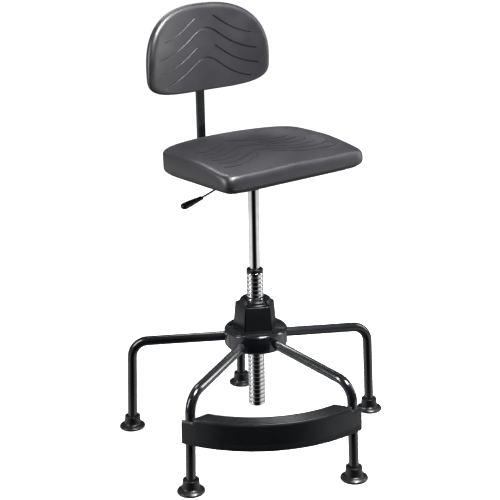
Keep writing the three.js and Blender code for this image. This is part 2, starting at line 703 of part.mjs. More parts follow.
const BOARD_TOP = SEAT_BOTTOM - BOARD_DROP + BOARD_THICK;

function boardShape(share, z0, z1) {
  return cushion([[0, z0], [share, z0], [share, z1], [0, z1]], seatOutline, 48)
    .translate(0, SEAT_CENTRE_Y, 0);
}

function seatCushion() {
  const body = cushion([
    [0, SEAT_BOTTOM], [0.95, SEAT_BOTTOM], [1, SEAT_BOTTOM + 0.2 * SEAT_THICK],
    [1, SEAT_TOP - 0.25 * SEAT_THICK], [0.96, SEAT_TOP], [0.7, SEAT_TOP - SEAT_DISH],
    [0, SEAT_TOP - SEAT_DISH],
  ], seatOutline, 48).translate(0, SEAT_CENTRE_Y, 0);
  const position = body.getAttribute('position');
  for (let i = 0; i < position.count; i++) {
    const [x, y, z] = [position.getX(i), position.getY(i) - SEAT_CENTRE_Y, position.getZ(i)];
    const [edgeX, edgeY] = seatOutline(Math.atan2(y, x));
    const nearEdge = Math.hypot(x, y) > 0.9 * Math.hypot(edgeX, edgeY);
    const onRim = nearEdge && z > SEAT_TOP - 0.3 * SEAT_THICK;
    if (onRim) position.setZ(i, z - SEAT_FRONT_FALL * Math.max(0, -y / SEAT_FRONT) ** 2);
  }
  return cut(body, boardShape(BOARD_SHARE + 0.003, SEAT_BOTTOM - 1, BOARD_TOP + GAP));
}

const boltPlaces = [-SEAT_BOLT_Y, SEAT_BOLT_Y]
  .flatMap((y) => [[-SEAT_BOLT_X, y], [SEAT_BOLT_X, y]]);
const boltHoles = () => boltPlaces.map(([x, y]) =>
  disc(BOLT_R + GAP, PLATE_BOTTOM - 1, BOARD_TOP - 1.5, 10).translate(x, y, 0));

function seatBolt([x, y]) {
  const top = BOARD_TOP - 2;
  const headTop = PLATE_BOTTOM - GAP;
  return turned([
    [0, headTop - 4], [5.5, headTop - 4], [5.5, headTop], [BOLT_R, headTop],
    [BOLT_R, top], [0, top],
  ], 10).translate(x, y, 0);
}

function mechanismPlate() {
  const tail = BAR_WIDTH / 2 + 21;
  const outline = [
    [-PLATE_HALF_X, -PLATE_HALF_Y], [PLATE_HALF_X, -PLATE_HALF_Y],
    [PLATE_HALF_X, PLATE_HALF_Y], [tail, PLATE_HALF_Y], [tail, CHANNEL_END],
    [-tail, CHANNEL_END], [-tail, PLATE_HALF_Y], [-PLATE_HALF_X, PLATE_HALF_Y],
  ];
  return cut(prism(outline, PLATE_BOTTOM, PLATE_TOP), ...boltHoles());
}

place('seat_cushion', seatCushion(), SKIN_FOAM);
place('seat_board', cut(boardShape(BOARD_SHARE, SEAT_BOTTOM - BOARD_DROP, BOARD_TOP),
  ...boltHoles()), PLYWOOD);
boltPlaces.forEach((at, i) => place(`seat_bolt_${i + 1}`, seatBolt(at), STEEL));
place('mechanism_plate', mechanismPlate(), BLACK_PAINT);

// ---------------------------------------------------------------- mechanism and lever
function mechanismPan() {
  const box = block(-PAN_HALF_X, PAN_HALF_X, -PAN_HALF_Y, PAN_HALF_Y, PAN_BOTTOM, PAN_TOP);
  const inside = block(-PAN_HALF_X + SHEET, PAN_HALF_X - SHEET, -PAN_HALF_Y + SHEET,
    PAN_HALF_Y - SHEET, PAN_BOTTOM + SHEET, PAN_TOP + 1);
  const window = block(-PAN_HALF_X - 1, -PAN_HALF_X + SHEET + 1, LEVER_Y - 6, LEVER_Y + 6,
    PAN_BOTTOM + SHEET, PIVOT_Z + 4);
  const pinHole = bar([PIVOT_X, -PAN_HALF_Y - 1, PIVOT_Z], [PIVOT_X, PAN_HALF_Y + 1, PIVOT_Z],
    LEVER_ROD_R + GAP);
  return cut(box, inside, window, pinHole, disc(GAS_R + GAP, PAN_BOTTOM - 1, PAN_BOTTOM + 4));
}

function taperSocket() {
  const bore = GAS_R + GAP;
  const outer = bore + SOCKET_WALL;
  const flange = outer + 7;
  const top = PAN_BOTTOM - GAP;
  const bottom = top - SOCKET_H;
  return turned([
    [bore, bottom], [outer - 1, bottom], [outer, bottom + 2], [outer, top - 5],
    [flange, top - 4], [flange, top], [bore, top],
  ]);
}

function releaseLever() {
  const hub = bar([PIVOT_X, -9, PIVOT_Z], [PIVOT_X, LEVER_Y + 8, PIVOT_Z], LEVER_HUB_R, 12);
  const finger = block(PIVOT_X, 6, -6, 6, PIN_TOP + RUN, PIN_TOP + RUN + 4);
  const bore = bar([PIVOT_X, -20, PIVOT_Z], [PIVOT_X, 40, PIVOT_Z], LEVER_ROD_R + RUN, 12);
  return cut(join(hub, finger), bore);
}

function pivotPin() {
  const headR = 4.5;
  const end = PAN_HALF_Y + GAP;
  const shank = bar([PIVOT_X, -end - 3, PIVOT_Z], [PIVOT_X, end + 2, PIVOT_Z], LEVER_ROD_R);
  const head = bar([PIVOT_X, -end - 3, PIVOT_Z], [PIVOT_X, -end, PIVOT_Z], headR);
  return join(shank, head);
}

const leverHeight = (x) => PIVOT_Z - LEVER_FALL * (PIVOT_X - x);

function leverRod() {
  const from = PIVOT_X - LEVER_HUB_R - 1.4;
  const to = HANDLE_START - 18;
  return bar([from, LEVER_Y, leverHeight(from)], [to, LEVER_Y, leverHeight(to)], LEVER_ROD_R);
}

// A flat paddle, moulded over the rod's end.
function leverHandle() {
  const wide = HANDLE_HALF_WIDTH;
  const narrow = wide - 3;
  const outline = new THREE.Shape();
  outline.moveTo(0, -narrow);
  outline.lineTo(0, narrow);
  outline.quadraticCurveTo(-20, wide + 0.5, -HANDLE_LENGTH + wide + 0.5, wide);
  outline.absarc(-HANDLE_LENGTH + wide, 0, wide, Math.PI / 2, 1.5 * Math.PI, false);
  outline.quadraticCurveTo(-20, -wide - 0.5, 0, -narrow);
  const bevel = 1.5;
  const flat = HANDLE_HALF_THICK - bevel;
  const paddle = new THREE.ExtrudeGeometry(outline, {
    depth: 2 * flat, bevelThickness: bevel, bevelSize: bevel, bevelOffset: -bevel,
    bevelSegments: 1, curveSegments: 4,
  }).translate(0, 0, -flat);
  const position = paddle.getAttribute('position');
  for (let i = 0; i < position.count; i++) {
    const run = -position.getX(i) / HANDLE_LENGTH;
    const share = HANDLE_START_SHARE + (1 - HANDLE_START_SHARE) * run;
    position.setZ(i, position.getZ(i) * share);
  }
  paddle.rotateY(-Math.atan(HANDLE_FALL))
    .translate(HANDLE_START, LEVER_Y, leverHeight(HANDLE_START));
  const to = HANDLE_START - 19;
  const socket = bar([HANDLE_START + 20, LEVER_Y, leverHeight(HANDLE_START + 20)],
    [to, LEVER_Y, leverHeight(to)], LEVER_ROD_R + GAP);
  return cut(paddle, socket);
}

place('mechanism_pan', mechanismPan(), BLACK_PAINT);
place('taper_socket', taperSocket(), BLACK_PAINT);
place('lever_pivot_pin', pivotPin(), STEEL);
place('release_lever', releaseLever(), STEEL);
place('lever_rod', leverRod(), BLACK_PAINT);
place('lever_handle', leverHandle(), BLACK_PLASTIC);

// ---------------------------------------------------------------- back upright and its clamp
const BAR_Z = PAN_TOP - RUN - BAR_THICK / 2;
const CHANNEL_START = BAR_INNER_Y + 5;

function backBar() {
  const stations = bentPath(new THREE.Vector3(0, BAR_INNER_Y, BAR_Z),
    new THREE.Vector3(0, BAR_Y, BAR_Z), new THREE.Vector3(0, BAR_Y, BAR_TOP), BAR_BEND_R, 7);
  // The section's first axis lies along the bar's thickness, its second one across the bar.
  const [a, b] = [BAR_THICK / 2, BAR_WIDTH / 2];
  const section = [[-a, -b], [a, -b], [a, b], [-a, b]].map(([x, y]) => new THREE.Vector2(x, y));
  return sweep(stations, section);
}

function backChannel() {
  const inner = BAR_WIDTH / 2 + RUN;
  const low = BAR_Z - BAR_THICK / 2 - RUN;
  const outside = block(-inner - SHEET, inner + SHEET, CHANNEL_START, CHANNEL_END,
    low - SHEET, PAN_TOP);
  const inside = block(-inner, inner, CHANNEL_START - 1, CHANNEL_END + 1, low, PAN_TOP + 1);
  const hole = disc(STUD_R + RUN, low - SHEET - 1, low + 1, 12)
    .translate(0, (CHANNEL_START + CHANNEL_END) / 2, 0);
  return cut(outside, inside, hole);
}

// A round clamp knob with shallow finger lobes; it stands on z = 0 and its stud points up.
function knob(studLength) {
  const grip = turned([
    [0, -KNOB_H], [KNOB_R - 5, -KNOB_H], [KNOB_R, -KNOB_H + 4], [KNOB_R, -5],
    [KNOB_R - 6, -2], [9, 0], [0, 0],
  ], 20);
  const lobes = [];
  for (let i = 0; i < 6; i++) {
    const a = 2 * Math.PI * i / 6;
    lobes.push(disc(5, -KNOB_H - 1, 1, 8)
      .translate((KNOB_R + 2) * Math.cos(a), (KNOB_R + 2) * Math.sin(a), 0));
  }
  return join(cut(grip, ...lobes), disc(STUD_R, -1, studLength, 10));
}

const depthKnobY = (CHANNEL_START + CHANNEL_END) / 2;
const channelLow = BAR_Z - BAR_THICK / 2 - RUN - SHEET;

place('back_bar', backBar(), BLACK_PAINT);
place('back_channel', backChannel(), BLACK_PAINT);
place('depth_knob', knob(KNOB_STANDOFF + SHEET)
  .translate(0, depthKnobY, channelLow - KNOB_STANDOFF), BLACK_PLASTIC);

// ---------------------------------------------------------------- back cushion
function backOutline(angle) {
  const c = Math.cos(angle);
  const s = Math.sin(angle);
  const power = 2 / (s < 0 ? BACK_LOWER_POWER : BACK_UPPER_POWER);
  const reach = s < 0 ? BACK_LOWER : BACK_UPPER;
  return [BACK_HALF_WIDTH * Math.sign(c) * Math.abs(c) ** power,
    reach * Math.sign(s) * Math.abs(s) ** power];
}

const BACK_CENTRE_Z = BACK_BOTTOM + BACK_LOWER;
const BRACKET_REAR_Y = BAR_Y - BAR_THICK / 2 - RUN;
const BRACKET_FRONT_Y = BRACKET_REAR_Y - BRACKET_THICK;
const BOARD_FRONT_Y = BRACKET_FRONT_Y - GAP - BACK_BOARD_THICK;
const BACK_MID_Y = BOARD_FRONT_Y - BACK_BOARD_INSET;

function backCushion() {
  const half = BACK_THICK / 2;
  const flat = cushion([
    [0, -half], [0.85, -half], [1, -0.1 * half], [0.95, 0.9 * half], [0.5, half], [0, half],
  ], backOutline, 40);
  // x stays across, y becomes height, z becomes depth (positive towards the sitter).
  const position = flat.getAttribute('position');
  for (let i = 0; i < position.count; i++) {
    const [x, v, t] = [position.getX(i), position.getY(i), position.getZ(i)];
    const lean = (v + BACK_LOWER) * Math.sin(BACK_TILT);
    const wrap = BACK_WRAP * (x / BACK_HALF_WIDTH) ** 2;
    position.setXYZ(i, x, BACK_MID_Y + lean - wrap - t, BACK_CENTRE_Z + v);
  }
  return flat;
}

const BACK_BOARD_LOW = SLEEVE_BOTTOM - 15;
const BACK_BOARD_HIGH = SLEEVE_TOP + 30;
const backScrewPlaces = [BACK_SCREW_X, -BACK_SCREW_X].map((x) => [x, SLEEVE_MIDDLE]);
const backScrewHoles = () => backScrewPlaces.map(([x, z]) =>
  bar([x, BOARD_FRONT_Y + 1, z], [x, BAR_Y, z], BACK_SCREW_R + GAP, 10));

function backBoard() {
  const board = block(-BACK_BOARD_HALF, BACK_BOARD_HALF, BOARD_FRONT_Y, BRACKET_FRONT_Y - GAP,
    BACK_BOARD_LOW, BACK_BOARD_HIGH);
  return cut(board, ...backScrewHoles());
}

function backBracket() {
  const innerX = BAR_WIDTH / 2 + RUN;
  const rear = BAR_Y + BAR_THICK / 2 + RUN;
  const plate = block(-BRACKET_HALF_WIDTH, BRACKET_HALF_WIDTH, BRACKET_FRONT_Y, BRACKET_REAR_Y,
    SLEEVE_BOTTOM - 5, SLEEVE_TOP + 5);
  const sleeve = block(-innerX - SHEET, innerX + SHEET, BRACKET_REAR_Y - 1, rear + SHEET,
    SLEEVE_BOTTOM, SLEEVE_TOP);
  const inside = block(-innerX, innerX, BRACKET_REAR_Y, rear, SLEEVE_BOTTOM - 10,
    SLEEVE_TOP + 10);
  const stud = bar([0, rear - 1, SLEEVE_MIDDLE], [0, rear + SHEET + 1, SLEEVE_MIDDLE],
    STUD_R + RUN);
  return cut(join(plate, sleeve), inside, stud, ...backScrewHoles());
}

function backScrew([x, z]) {
  const shank = bar([x, BOARD_FRONT_Y + 1.5, z], [x, BRACKET_REAR_Y + 1, z], BACK_SCREW_R, 10);
  const head = bar([x, BRACKET_REAR_Y + GAP, z], [x, BRACKET_REAR_Y + 3, z],
    2 * BACK_SCREW_R, 12);
  return join(shank, head);
}

place('back_cushion', cut(backCushion(), block(-BACK_BOARD_HALF - GAP, BACK_BOARD_HALF + GAP,
  BOARD_FRONT_Y - GAP, BAR_Y, BACK_BOARD_LOW - GAP, BACK_BOARD_HIGH + GAP)),
SKIN_FOAM);
place('back_board', backBoard(), PLYWOOD);
place('back_bracket', backBracket(), BLACK_PAINT);
backScrewPlaces.forEach((at, i) => place(`back_screw_${i + 1}`, backScrew(at), STEEL));
place('height_knob', knob(KNOB_STANDOFF + SHEET).rotateX(Math.PI / 2).translate(0,
  BAR_Y + BAR_THICK / 2 + RUN + SHEET + KNOB_STANDOFF, SLEEVE_MIDDLE), BLACK_PLASTIC);

// ---------------------------------------------------------------- origin on the floor, centred
const box = new THREE.Box3().setFromObject(chair);
const centre = box.getCenter(new THREE.Vector3());
chair.position.set(-Math.round(centre.x), -Math.round(centre.y), -Math.round(box.min.z));
chair.updateMatrixWorld(true);

export default chair;
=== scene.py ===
# Drafting chair: the fine surfaces, materials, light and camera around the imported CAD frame.
# Shapes are drawn in millimetres from the column's axis and turned into metres in the frame.
import json
import math

import bmesh
import bpy
from mathutils import Matrix, Vector


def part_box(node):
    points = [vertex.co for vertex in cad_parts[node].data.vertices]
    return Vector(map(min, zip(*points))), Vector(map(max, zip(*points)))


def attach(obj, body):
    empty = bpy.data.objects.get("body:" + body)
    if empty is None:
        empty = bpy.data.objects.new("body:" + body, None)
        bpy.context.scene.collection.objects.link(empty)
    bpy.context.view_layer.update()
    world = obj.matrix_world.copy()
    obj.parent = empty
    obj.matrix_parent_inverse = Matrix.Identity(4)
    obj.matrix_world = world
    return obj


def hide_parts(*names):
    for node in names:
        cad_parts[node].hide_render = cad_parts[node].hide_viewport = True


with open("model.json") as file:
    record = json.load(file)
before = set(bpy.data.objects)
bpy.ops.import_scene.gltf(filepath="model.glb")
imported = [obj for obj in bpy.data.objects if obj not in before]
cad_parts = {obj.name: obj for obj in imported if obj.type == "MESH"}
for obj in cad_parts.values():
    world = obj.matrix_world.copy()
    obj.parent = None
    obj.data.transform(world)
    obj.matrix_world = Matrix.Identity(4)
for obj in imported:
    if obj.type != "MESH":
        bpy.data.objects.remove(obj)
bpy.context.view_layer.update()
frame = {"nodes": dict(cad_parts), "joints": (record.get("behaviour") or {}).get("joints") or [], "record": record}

MM = 0.001
SWIVEL = next(j for j in frame["joints"] if j["name"] == "seat_swivel")
AXIS = Vector((SWIVEL["pos_m"][0], SWIVEL["pos_m"][1], 0.0))
RECORD = frame["record"]


def span(node):
    """Lowest and highest corner of a CAD node, in millimetres from the column's axis."""
    low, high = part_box(node)
    return (low - AXIS) / MM, (high - AXIS) / MM


# ------------------------------------------------------------------ camera
CAMERA_AT = Vector((-1.8896, -2.4100, 1.5226))
CAMERA_FORWARD = Vector((0.5840, 0.7505, -0.3094))
CAMERA_UP = Vector((0.2048, 0.2325, 0.9508))
LENS = 89.96


def add_camera():
    data = bpy.data.cameras.new("camera")
    data.lens = LENS
    data.sensor_width = 36
    camera = bpy.data.objects.new("camera", data)
    right = CAMERA_FORWARD.cross(CAMERA_UP).normalized()
    up = right.cross(CAMERA_FORWARD).normalized()
    turn = Matrix((right, up, -CAMERA_FORWARD.normalized())).transposed()
    camera.matrix_world = Matrix.Translation(AXIS + CAMERA_AT) @ turn.to_4x4()
    bpy.context.scene.collection.objects.link(camera)
    bpy.context.scene.camera = camera


add_camera()

# ------------------------------------------------------------------ driving dimensions, mm
LEG_NAMES = ["front_right", "side_right", "rear", "side_left", "front_left"]
LEG_COUNT = len(LEG_NAMES)
TUBE_R = 12.7
TUBE_WALL = 1.8
LEG_SPLAY = 0.0431          # outward lean of the upright part
ARM_SLOPE = 0.1232
ARM_Z = 284
ARM_START_R = 83            # where ARM_Z is measured
BEND_R = 52
LEG_INNER = 38
GLIDE_R = 35
GLIDE_H = 35

HUB_R = 83
SLOT_R = 66
CORNER_SLOT = 4.4
JAW_WALL = 18.4
TOWER_TAPER = 7

RING_PITCH = 11.625
RING_DEPTH = 1.3

BAR_WIDTH = 22
BAR_THICK = 12
BAR_BEND_R = 40

SEAT_DISH = 14
BOARD_SHARE = 0.9
GROOVE_R = 2.1
GROOVE_SINK = 0.8

foot_mount = next(m for m in RECORD["mounts"] if m["name"] == "floor_front_right")
foot = (Vector(foot_mount["pos_m"]) - AXIS) / MM
FOOT_R = math.hypot(foot.x, foot.y)
FIRST_LEG = math.degrees(math.atan2(foot.x, -foot.y))
LEG_STEP = 360 / LEG_COUNT


def leg_azimuth(i):
    return FIRST_LEG + i * LEG_STEP


# ------------------------------------------------------------------ mesh helpers
def polar(azimuth, r, z):
    """A point at an azimuth in degrees, from -Y towards +X."""
    a = math.radians(azimuth)
    return Vector((r * math.sin(a), -r * math.cos(a), z))


def smoothstep(x, low, high):
    t = min(max((x - low) / (high - low), 0.0), 1.0)
    return t * t * (3 - 2 * t)


def rounded(corners, steps=5):
    """A polyline whose corners (x, y, radius) are rounded; it runs from first to last."""
    points = []
    count = len(corners)
    for i, (x, y, radius) in enumerate(corners):
        here = Vector((x, y))
        if radius == 0 or i in (0, count - 1):
            points.append(here)
            continue
        before = (Vector(corners[i - 1][:2]) - here).normalized()
        after = (Vector(corners[i + 1][:2]) - here).normalized()
        half = before.angle(after) / 2
        setback = radius / math.tan(half)
        centre = here + (before + after).normalized() * (radius / math.sin(half))
        start = here + before * setback - centre
        end = here + after * setback - centre
        sweep_angle = math.pi - 2 * half
        side = 1 if start.x * end.y - start.y * end.x > 0 else -1
        for k in range(steps + 1):
            angle = side * sweep_angle * k / steps
            c, s = math.cos(angle), math.sin(angle)
            spoke = Vector((start.x * c - start.y * s, start.x * s + start.y * c))
            points.append(centre + spoke)
    return points


def build(name, points, faces, crease=32):
    """A mesh object, smooth except at edges sharper than the crease angle."""
    mesh = bpy.data.meshes.new(name)
    mesh.from_pydata([AXIS + Vector(p) * MM for p in points], [], faces)
    obj = bpy.data.objects.new(name, mesh)
    bpy.context.scene.collection.objects.link(obj)
    tidy(obj, crease)
    return obj


def tidy(obj, crease=32):
    """Faces out, no doubled points, sharp edges by angle."""
    mesh = obj.data
    bm = bmesh.new()
    bm.from_mesh(mesh)
    bmesh.ops.remove_doubles(bm, verts=bm.verts, dist=1e-6)
    bmesh.ops.recalc_face_normals(bm, faces=bm.faces)
    bm.to_mesh(mesh)
    bm.free()
    mesh.polygons.foreach_set("use_smooth", [True] * len(mesh.polygons))
    mesh.set_sharp_from_angle(angle=math.radians(crease))
    mesh.update()


def loft_data(loops, closed=False):
    """Points and faces of a skin over closed loops of equally many points."""
    count = len(loops[0])
    points = [p for loop in loops for p in loop]
    faces = []
    bands = len(loops) if closed else len(loops) - 1
    for i in range(bands):
        a, b = i * count, ((i + 1) % len(loops)) * count
        for j in range(count):
            k = (j + 1) % count
            faces.append((a + j, a + k, b + k, b + j))
    if not closed:
        faces.append(tuple(range(count)))
        faces.append(tuple(range(len(points) - count, len(points))))
    return points, faces


def loft(name, loops, closed=False, crease=32):
    return build(name, *loft_data(loops, closed), crease)


def ring_loop(r, z, segments, centre=(0.0, 0.0)):
    return [Vector((centre[0] + r * math.cos(2 * math.pi * j / segments),
                    centre[1] + r * math.sin(2 * math.pi * j / segments), z))
            for j in range(segments)]


def turned(name, profile, segments=96, hollow=True, crease=32):
    """A body turned about the column's axis; a hollow profile closes on itself."""
    loops = [ring_loop(p[0], p[1], segments) for p in profile]
    return loft(name, loops, closed=hollow, crease=crease)


def sector(name, profile, start, end, steps, crease=32):
    """Part of a turned body between two azimuths, with both ends filled."""
    loops = [[polar(start + (end - start) * i / steps, p[0], p[1]) for p in profile]
             for i in range(steps + 1)]
    return loft(name, loops, crease=crease)


def tube_loops(path, radius, sides=12):
    """Circles along a path of points, kept upright by a fixed side direction."""
    loops = []
    for i, at in enumerate(path):
        along = (path[min(i + 1, len(path) - 1)] - path[max(i - 1, 0)]).normalized()
        side = along.cross(Vector((0, 0, 1)))
        if side.length < 0.05:
            side = along.cross(Vector((0, 1, 0)))
        side.normalize()
        up = side.cross(along)
        loops.append([at + side * (radius * math.cos(2 * math.pi * k / sides))
                      + up * (radius * math.sin(2 * math.pi * k / sides))
                      for k in range(sides)])
    return loops


def rod(name, start, end, radius, sides=32):
    return loft(name, tube_loops([Vector(start), Vector(end)], radius, sides))


def slab(name, low, high, bevel=0.0, segments=2):
    """A box between two corners, its edges rounded."""
    low, high = Vector(low), Vector(high)
    points = [Vector((x, y, z)) for z in (low.z, high.z) for x, y in
              ((low.x, low.y), (high.x, low.y), (high.x, high.y), (low.x, high.y))]
    faces = [(0, 1, 2, 3), (4, 5, 6, 7)]
    faces += [(i, (i + 1) % 4, 4 + (i + 1) % 4, 4 + i) for i in range(4)]
    obj = build(name, points, faces)
    if bevel:
        round_edges(obj, bevel, segments)
    return obj


def round_edges(obj, width, segments=3, angle=30):
    """Rounds the edges sharper than an angle, in the mesh itself."""
    modifier = obj.modifiers.new("edges", "BEVEL")
    modifier.width = width * MM
    modifier.segments = segments
    modifier.limit_method = "ANGLE"
    modifier.angle_limit = math.radians(angle)
    apply_modifiers(obj)
    tidy(obj, 40)


def apply_modifiers(obj):
    bpy.context.view_layer.update()
    graph = bpy.context.evaluated_depsgraph_get()
    mesh = bpy.data.meshes.new_from_object(obj.evaluated_get(graph))
    obj.modifiers.clear()
    obj.data = mesh


def carve(obj, cutters, crease=32):
    """Cuts the other objects out of obj and removes them."""
    cutter = merge(cutters)
    modifier = obj.modifiers.new("carve", "BOOLEAN")
    modifier.operation = "DIFFERENCE"
    modifier.solver = "EXACT"
    modifier.object = cutter
    apply_modifiers(obj)
    bpy.data.objects.remove(cutter)
    tidy(obj, crease)


def merge(objects):
    """Joins objects into the first one."""
    first = objects[0]
    bm = bmesh.new()
    for obj in objects:
        bm.from_mesh(obj.data)
    bm.to_mesh(first.data)
    bm.free()
    for obj in objects[1:]:
        bpy.data.objects.remove(obj)
    first.data.polygons.foreach_set("use_smooth", [True] * len(first.data.polygons))
    return first


def sphere(name, at, radius, rows=8, sides=14):
    """A round cutter, for the end of a groove."""
    loops = []
    for i in range(rows + 1):
        lean = math.pi * (0.02 + 0.96 * i / rows)
        r, z = radius * math.sin(lean), -radius * math.cos(lean)
        loops.append([Vector(at) + Vector((r * math.cos(2 * math.pi * k / sides),
                                           r * math.sin(2 * math.pi * k / sides), z))
                      for k in range(sides)])
    return loft(name, loops)


# ------------------------------------------------------------------ material helpers
class Graph:
    """Shader nodes of one tree, made and linked by short calls."""

    def __init__(self, tree):
        self.tree = tree

    def node(self, kind, **values):
        made = self.tree.nodes.new(kind)
        for key, value in values.items():
            setattr(made, key, value)
        return made

    def link(self, source, target):
        self.tree.links.new(source, target)

    def ramp(self, source, low, high, to_low=0.0, to_high=1.0):
        made = self.node("ShaderNodeMapRange", clamp=True)
        made.inputs["From Min"].default_value = low
        made.inputs["From Max"].default_value = high
        made.inputs["To Min"].default_value = to_low
        made.inputs["To Max"].default_value = to_high
        self.link(source, made.inputs["Value"])
        return made.outputs["Result"]

    def math(self, operation, a, b):
        made = self.node("ShaderNodeMath", operation=operation)
        for socket, value in zip(made.inputs, (a, b)):
            if isinstance(value, (int, float)):
                socket.default_value = value
            else:
                self.link(value, socket)
        return made.outputs["Value"]

    def height_of(self, vector):
        split = self.node("ShaderNodeSeparateXYZ")
        self.link(vector, split.inputs["Vector"])
        return split.outputs["Z"]


class Shader(Graph):
    """A Principled material and the nodes that drive it, in metres of the object's space."""

    def __init__(self, name, color, roughness, metallic=0.0):
        self.material = bpy.data.materials.new(name)
        self.material.use_nodes = True
        super().__init__(self.material.node_tree)
        self.out = self.tree.nodes["Principled BSDF"]
        self.out.inputs["Base Color"].default_value = (*color, 1)
        self.out.inputs["Roughness"].default_value = roughness
        self.out.inputs["Metallic"].default_value = metallic
        self.place = self.node("ShaderNodeTexCoord").outputs["Object"]
        self.normal = None

    def stretched(self, scale):
        mapping = self.node("ShaderNodeMapping")
        mapping.inputs["Scale"].default_value = scale
        self.link(self.place, mapping.inputs["Vector"])
        return mapping.outputs["Vector"]

    def noise(self, scale, detail=3.0, roughness=0.5, where=None):
        made = self.node("ShaderNodeTexNoise")
        made.inputs["Scale"].default_value = scale
        made.inputs["Detail"].default_value = detail
        made.inputs["Roughness"].default_value = roughness
        self.link(where or self.place, made.inputs["Vector"])
        return made.outputs["Fac"]

    def cells(self, scale, feature="F1", randomness=1.0):
        made = self.node("ShaderNodeTexVoronoi", feature=feature)
        made.inputs["Scale"].default_value = scale
        made.inputs["Randomness"].default_value = randomness
        self.link(self.place, made.inputs["Vector"])
        return made.outputs["Distance"]

    def worn_edges(self, low=0.53, high=0.62):
        geometry = self.node("ShaderNodeNewGeometry")
        return self.ramp(geometry.outputs["Pointiness"], low, high)

    def facing_up(self):
        geometry = self.node("ShaderNodeNewGeometry")
        return self.ramp(self.height_of(geometry.outputs["Normal"]), 0.2, 1.0)

    def color(self, source, dark, light):
        mix = self.node("ShaderNodeMix", data_type="RGBA")
        mix.inputs[6].default_value = (*dark, 1)
        mix.inputs[7].default_value = (*light, 1)
        self.link(source, mix.inputs[0])
        self.link(mix.outputs[2], self.out.inputs["Base Color"])

    def rough(self, source, low, high):
        self.link(self.ramp(source, 0.3, 0.7, low, high), self.out.inputs["Roughness"])

    def bump(self, source, depth_mm):
        made = self.node("ShaderNodeBump")
        made.inputs["Strength"].default_value = 1.0
        made.inputs["Distance"].default_value = depth_mm * MM
        self.link(source, made.inputs["Height"])
        if self.normal is not None:
            self.link(self.normal, made.inputs["Normal"])
        self.normal = made.outputs["Normal"]
        self.link(self.normal, self.out.inputs["Normal"])

    def set(self, **values):
        for key, value in values.items():
            self.out.inputs[key.replace("_", " ")].default_value = value


def black_enamel():
    """Gloss powder coat: faint orange peel, a little dust on top, lighter worn edges."""
    s = Shader("black_enamel", (0.005, 0.0055, 0.007), 0.17)
    s.set(Coat_Weight=0.5, Coat_Roughness=0.05)
    peel = s.noise(420, 2.0)
    dust = s.math("MULTIPLY", s.noise(60, 4.0), s.facing_up())
    wear = s.math("ADD", s.worn_edges(), dust)
    s.color(s.ramp(wear, 0.3, 1.6), (0.004, 0.0045, 0.006), (0.036, 0.037, 0.041))
    s.rough(s.noise(35, 4.0), 0.13, 0.22)
    s.bump(peel, 0.035)
    return s.material


def chrome():
    """Bright plate with fine turning marks and faint handling haze."""
    s = Shader("chrome_plate", (0.80, 0.80, 0.81), 0.07, 1.0)
    haze = s.noise(45, 5.0)
    s.color(s.ramp(haze, 0.35, 0.75), (0.83, 0.83, 0.835), (0.70, 0.70, 0.715))
    s.rough(haze, 0.05, 0.12)
    s.bump(s.noise(900, 2.0, where=s.stretched((0.2, 0.2, 4.0))), 0.004)
    return s.material


def zinc_steel():
    """Zinc plate, slightly mottled and brushed."""
    s = Shader("zinc_plate", (0.50, 0.50, 0.51), 0.32, 1.0)
    mottle = s.noise(180, 4.0)
    s.color(s.ramp(mottle, 0.3, 0.7), (0.42, 0.42, 0.43), (0.60, 0.60, 0.61))
    s.rough(mottle, 0.24, 0.42)
    s.bump(s.noise(1400, 2.0, where=s.stretched((1.0, 1.0, 0.1))), 0.01)
    return s.material


def moulded_plastic(name, color, gloss, grain_mm):
    """Nylon with a spark-eroded grain, scuffed a little where it is touched."""
    s = Shader(name, color, gloss)
    s.set(Specular_IOR_Level=0.4)
    scuff = s.noise(26, 5.0, 0.6)
    light = tuple(2.2 * c + 0.002 for c in color)
    s.color(s.ramp(s.math("ADD", s.worn_edges(), s.ramp(scuff, 0.62, 0.85)), 0.1, 1.6), color,
            light)
    s.rough(scuff, gloss - 0.05, gloss + 0.09)
    s.bump(s.noise(1500, 2.0), grain_mm)
    return s.material


def glide_rubber():
    """Hard rubber with a low sheen, dusty at the floor."""
    s = Shader("glide_rubber", (0.005, 0.005, 0.006), 0.3)
    dirt = s.noise(90, 5.0, 0.6)
    low = s.ramp(s.height_of(s.place), 0.0, 0.012, 1.0, 0.0)
    s.color(s.math("MULTIPLY", low, dirt), (0.005, 0.005, 0.006), (0.022, 0.021, 0.020))
    s.rough(dirt, 0.26, 0.38)
    s.bump(s.noise(800, 3.0), 0.02)
    return s.material


def skin_foam():
    """Self-skinned polyurethane: leather-like grain, satin, with worn and dusty patches."""
    s = Shader("skin_foam", (0.016, 0.0155, 0.019), 0.38)
    s.set(Sheen_Weight=0.03, Sheen_Roughness=0.5, Specular_IOR_Level=0.7)
    broad = s.noise(9, 4.0)
    fine = s.noise(700, 3.0)
    blend = s.math("ADD", s.math("MULTIPLY", broad, 0.65), s.math("MULTIPLY", fine, 0.35))
    s.color(s.ramp(blend, 0.38, 0.66), (0.010, 0.0098, 0.013), (0.018, 0.0175, 0.022))
    s.rough(s.noise(24, 4.0), 0.34, 0.44)
    pores = s.ramp(s.cells(820, "SMOOTH_F1"), 0.05, 0.6)
    s.bump(pores, 0.10)
    s.bump(s.noise(1500, 3.0), 0.05)
    return s.material


